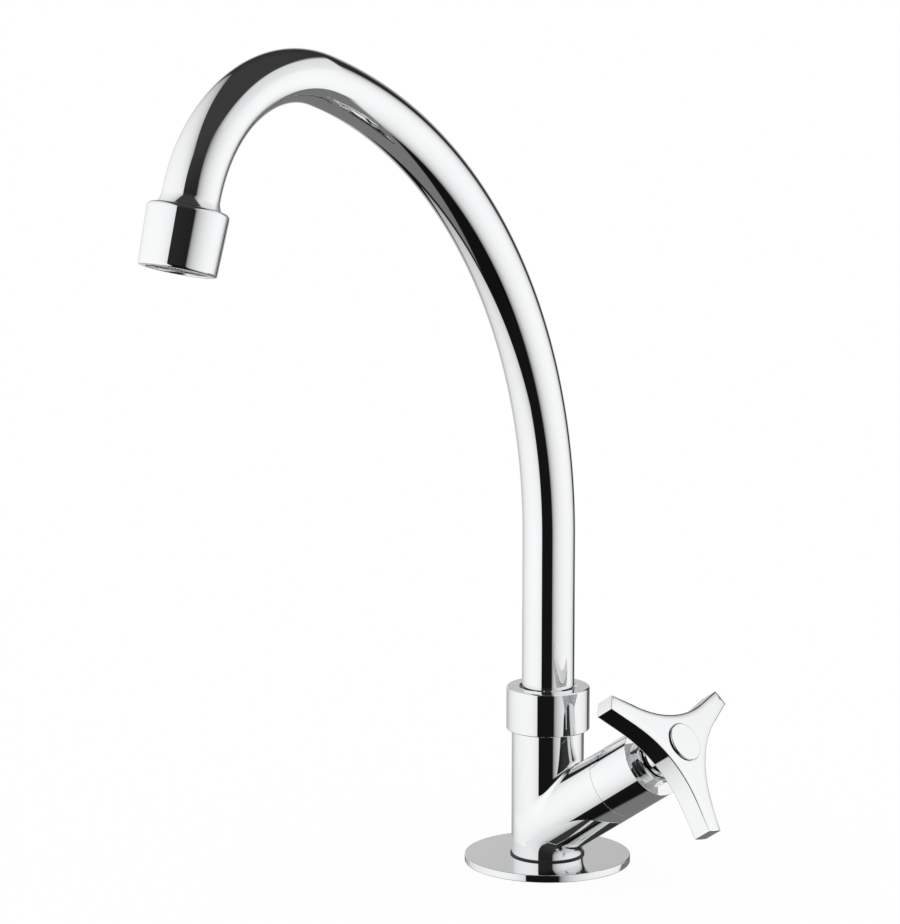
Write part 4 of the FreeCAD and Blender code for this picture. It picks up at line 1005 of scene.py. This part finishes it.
dress(put(neck_nut, to_branch), polished_chrome, "base_unit", "polished_chrome", "neck_nut")

# Handle
# A chromed casting with three tapering arms, hollow sides between them and a shallow dome in
# front, on a short round hub. It sits on the spindle's spline.
ARMS = 3
ARM_TURN = math.radians(-10)
TIP_WIDTH = 6.0 * MM
WAIST_RADIUS = 11.0 * MM
ARM_TAPER = math.radians(5.4)
HANDLE_BACK = 65.0 * MM
HANDLE_FRONT = 73.5 * MM
CROWN_RADIUS = 1100 * MM
FRONT_ROUND = 0.7 * MM
SOFT_WIDTH = 2.2 * MM
SOFT_SLOPE = math.radians(20)
BACK_ROUND = 0.7 * MM
TIP_CORNER = 0.3 * MM
TIP_STEPS = 2
HOLLOW_STEPS = 40
ROUND_STEPS = 5
SOFT_STEPS = 6
CORNER_STEPS = 3
OUTLINE_WELD = 1e-5
ANGLE_SLACK = 1e-4
TIP_SLACK = 0.01 * MM
FACE_SLACK = 0.1 * MM
FLAT_NORMAL = 0.99
BACK_NORMAL = -0.5
HUB_RADIUS = 7.5 * MM
HUB_EDGE = 0.4 * MM
CAP_SEAT = 72.6 * MM
CAP_PLUG_RADIUS = 4.35 * MM
CAP_GROOVE = 0.4 * MM
SOCKET_RADIUS = 4.05 * MM
SOCKET_END = 67.1 * MM
SCREW_HOLE = 2.2 * MM
SCREW_SEAT = 69.0 * MM
RECESS_MARGIN = 3 * MM
HUB_STEPS = 72
HANDLE_LIMIT = 28
MATT_METALLIC = 0.25
matt_plating = metal("matt_plating", (0.84, 0.85, 0.86, 1), (0.76, 0.77, 0.78, 1),
                     rough=(0.42, 0.55), ripple=(400.0, 4e-6))
set_inputs(matt_plating.node_tree.nodes["Principled BSDF"], Metallic=MATT_METALLIC)
hub_start, _, tip_radius = span("handle", branch_base, branch_axis)
cap_low, cap_high, cap_radius = span("index_cap", branch_base, branch_axis)
half_share = math.pi / ARMS
tip_angle = math.asin(TIP_WIDTH / 2 / tip_radius)
tip_x = tip_radius * math.cos(tip_angle)
# A hollow is an arc that runs smoothly into the arms at its sides, with its deepest place at the
# waist. Its centre is hollow_reach from the middle of the handle.
hollow_reach = ((WAIST_RADIUS - tip_x * math.sin(ARM_TAPER) - TIP_WIDTH / 2 * math.cos(ARM_TAPER))
                / (1 - math.cos(half_share) * math.sin(ARM_TAPER)
                   - math.sin(half_share) * math.cos(ARM_TAPER)))
hollow_radius = hollow_reach - WAIST_RADIUS
hollow_sweep = 2 * (math.pi / 2 - half_share - ARM_TAPER)
# The handle's own X runs down across the branch, and its Y is the part's Y
handle_x = Vector((branch_axis.z, 0, -branch_axis.x))
handle_y = branch_axis.cross(handle_x)
handle_turned = Matrix((
    (handle_x.x, handle_y.x, branch_axis.x, 0), (handle_x.y, handle_y.y, branch_axis.y, 0),
    (handle_x.z, handle_y.z, branch_axis.z, 0), (0, 0, 0, 1)))
to_handle = Matrix.Translation(branch_base) @ handle_turned @ Matrix.Rotation(ARM_TURN, 4, "Z")


def on_circle(radius, angle):
    """A point of the handle's back face, by its radius and angle."""
    return Vector((radius * math.cos(angle), radius * math.sin(angle), HANDLE_BACK))


def at_tip_corner(place):
    """Whether a place is on the upright edge at either side of an arm's tip."""
    turned = math.atan2(place.y, place.x) % (math.tau / ARMS)
    off_middle = min(turned, math.tau / ARMS - turned)
    return (abs(off_middle - tip_angle) < ANGLE_SLACK
            and abs(place.xy.length - tip_radius) < TIP_SLACK)


def rounded_edge(radius, sweep):
    """The steps (inward, up) that draw a face in over a round edge, up to a sweep of its turn."""
    angles = [sweep * step / ROUND_STEPS for step in range(ROUND_STEPS + 1)]
    return [(radius * (math.cos(low) - math.cos(high)), radius * (math.sin(high) - math.sin(low)))
            for low, high in zip(angles, angles[1:])]


handle = start_point("handle", on_circle(tip_radius, -tip_angle))
for arm in range(ARMS):
    arm_angle = arm * math.tau / ARMS
    bpy.ops.mesh.spin(
        steps=TIP_STEPS, angle=-2 * tip_angle, center=(0, 0, HANDLE_BACK), axis=(0, 0, 1))
    tip_end = on_circle(tip_radius, arm_angle + tip_angle)
    centre = on_circle(hollow_reach, arm_angle + half_share)
    touch_angle = arm_angle - math.pi / 2 - ARM_TAPER
    touch = centre + hollow_radius * Vector((math.cos(touch_angle), math.sin(touch_angle), 0))
    bpy.ops.mesh.extrude_vertices_move(TRANSFORM_OT_translate={"value": touch - tip_end})
    bpy.ops.mesh.spin(steps=HOLLOW_STEPS, angle=hollow_sweep, center=centre, axis=(0, 0, 1))
    next_tip = on_circle(tip_radius, arm_angle + math.tau / ARMS - tip_angle)
    leave_angle = touch_angle - hollow_sweep
    leave = centre + hollow_radius * Vector((math.cos(leave_angle), math.sin(leave_angle), 0))
    bpy.ops.mesh.extrude_vertices_move(TRANSFORM_OT_translate={"value": next_tip - leave})
bpy.ops.mesh.select_all(action="SELECT")
bpy.ops.mesh.remove_doubles(threshold=OUTLINE_WELD)
bpy.ops.mesh.edge_face_add()
# Both faces are drawn in over a round edge. Buffing has also sloped the front down to that edge
front_insets = rounded_edge(FRONT_ROUND, math.pi / 2 - SOFT_SLOPE)
for step in range(SOFT_STEPS):
    slope = SOFT_SLOPE * (1 - (step + 0.5) / SOFT_STEPS)
    front_insets.append((SOFT_WIDTH / SOFT_STEPS, SOFT_WIDTH / SOFT_STEPS * math.tan(slope)))
back_insets = rounded_edge(BACK_ROUND, math.pi / 2)
edge_height = sum(rise for _, rise in front_insets)
bpy.ops.transform.translate(value=(0, 0, BACK_ROUND))
bpy.ops.mesh.extrude_region_move(TRANSFORM_OT_translate={
    "value": (0, 0, HANDLE_FRONT - HANDLE_BACK - BACK_ROUND - edge_height)})
bpy.ops.mesh.select_all(action="SELECT")
bpy.ops.mesh.normals_make_consistent(inside=False)
bpy.ops.mesh.select_mode(type="FACE")
for way, insets in ((1, front_insets), (-1, back_insets)):
    bpy.ops.mesh.select_all(action="DESELECT")
    bpy.ops.object.mode_set(mode="OBJECT")
    for face in handle.data.polygons:
        face.select = face.normal.z * way > FLAT_NORMAL
    bpy.ops.object.mode_set(mode="EDIT")
    for inward, rise in insets:
        bpy.ops.mesh.inset(thickness=inward, depth=rise, use_even_offset=True)
bpy.ops.mesh.select_all(action="DESELECT")
bpy.ops.mesh.select_mode(type="EDGE")
bpy.ops.object.mode_set(mode="OBJECT")
for edge in handle.data.edges:
    first, last = (handle.data.vertices[corner].co for corner in edge.vertices)
    edge.select = at_tip_corner(first) and at_tip_corner(last)
bpy.ops.object.mode_set(mode="EDIT")
bpy.ops.mesh.bevel(offset=TIP_CORNER, segments=CORNER_STEPS, affect="EDGES")
bpy.ops.mesh.select_mode(type="VERT")
bpy.ops.object.mode_set(mode="OBJECT")
bpy.ops.object.transform_apply(location=True, rotation=True, scale=True)
combine(handle, lathe("hub", [
    (0, hub_start), (HUB_RADIUS - HUB_EDGE, hub_start), (HUB_RADIUS, hub_start + HUB_EDGE),
    (HUB_RADIUS, HANDLE_BACK + MM), (0, HANDLE_BACK + MM)], HUB_STEPS), "UNION")
combine(handle, lathe("cap_recess", [
    (0, hub_start - MM), (SOCKET_RADIUS, hub_start - MM), (SOCKET_RADIUS, SOCKET_END),
    (SCREW_HOLE, SOCKET_END), (SCREW_HOLE, SCREW_SEAT), (CAP_PLUG_RADIUS, SCREW_SEAT),
    (CAP_PLUG_RADIUS, CAP_SEAT), (cap_radius + CAP_GROOVE, CAP_SEAT),
    (cap_radius + CAP_GROOVE, HANDLE_FRONT + RECESS_MARGIN),
    (0, HANDLE_FRONT + RECESS_MARGIN)], HUB_STEPS), "DIFFERENCE")
smooth(handle, HANDLE_LIMIT)
# The front is then ground to a shallow dome, which tilts its normals as it lowers its rim
mesh = handle.data
normals = []
for corner, loop in zip(mesh.corner_normals, mesh.loops):
    place = mesh.vertices[loop.vertex_index].co
    normal = corner.vector.copy()
    if place.z > CAP_SEAT + FACE_SLACK:
        normal = (normal + Vector((place.x, place.y, 0)) * normal.z / CROWN_RADIUS).normalized()
    normals.append(tuple(normal))
for vertex in mesh.vertices:
    if vertex.co.z > CAP_SEAT + FACE_SLACK:
        vertex.co.z -= vertex.co.xy.length_squared / (2 * CROWN_RADIUS)
mesh.normals_split_custom_set(normals)
dress(handle, polished_chrome, "handle_unit", "polished_chrome", "handle")
# Only what shows is polished to a mirror, so the back of the arms keeps the casting's matt finish
mesh.materials.append(matt_plating)
for face in mesh.polygons:
    if face.normal.z < BACK_NORMAL and face.center.z > HANDLE_BACK - FACE_SLACK:
        face.material_index = 1
put(handle, to_handle)

# Index cap
# A blank chromed cap pressed into the handle's middle over the screw, with a fine groove round it.
CAP_ROUND = 0.6 * MM
cap_outline = [
    (0, cap_low), (CAP_PLUG_RADIUS, cap_low), (CAP_PLUG_RADIUS, CAP_SEAT), (cap_radius, CAP_SEAT)]
cap_outline += corner_arc((cap_radius - CAP_ROUND, cap_high - CAP_ROUND), CAP_ROUND, 0, 90)
index_cap = lathe("index_cap", cap_outline + [(0, cap_high)])
smooth(index_cap)
dress(put(index_cap, to_branch), polished_chrome, "handle_unit", "polished_chrome", "index_cap")
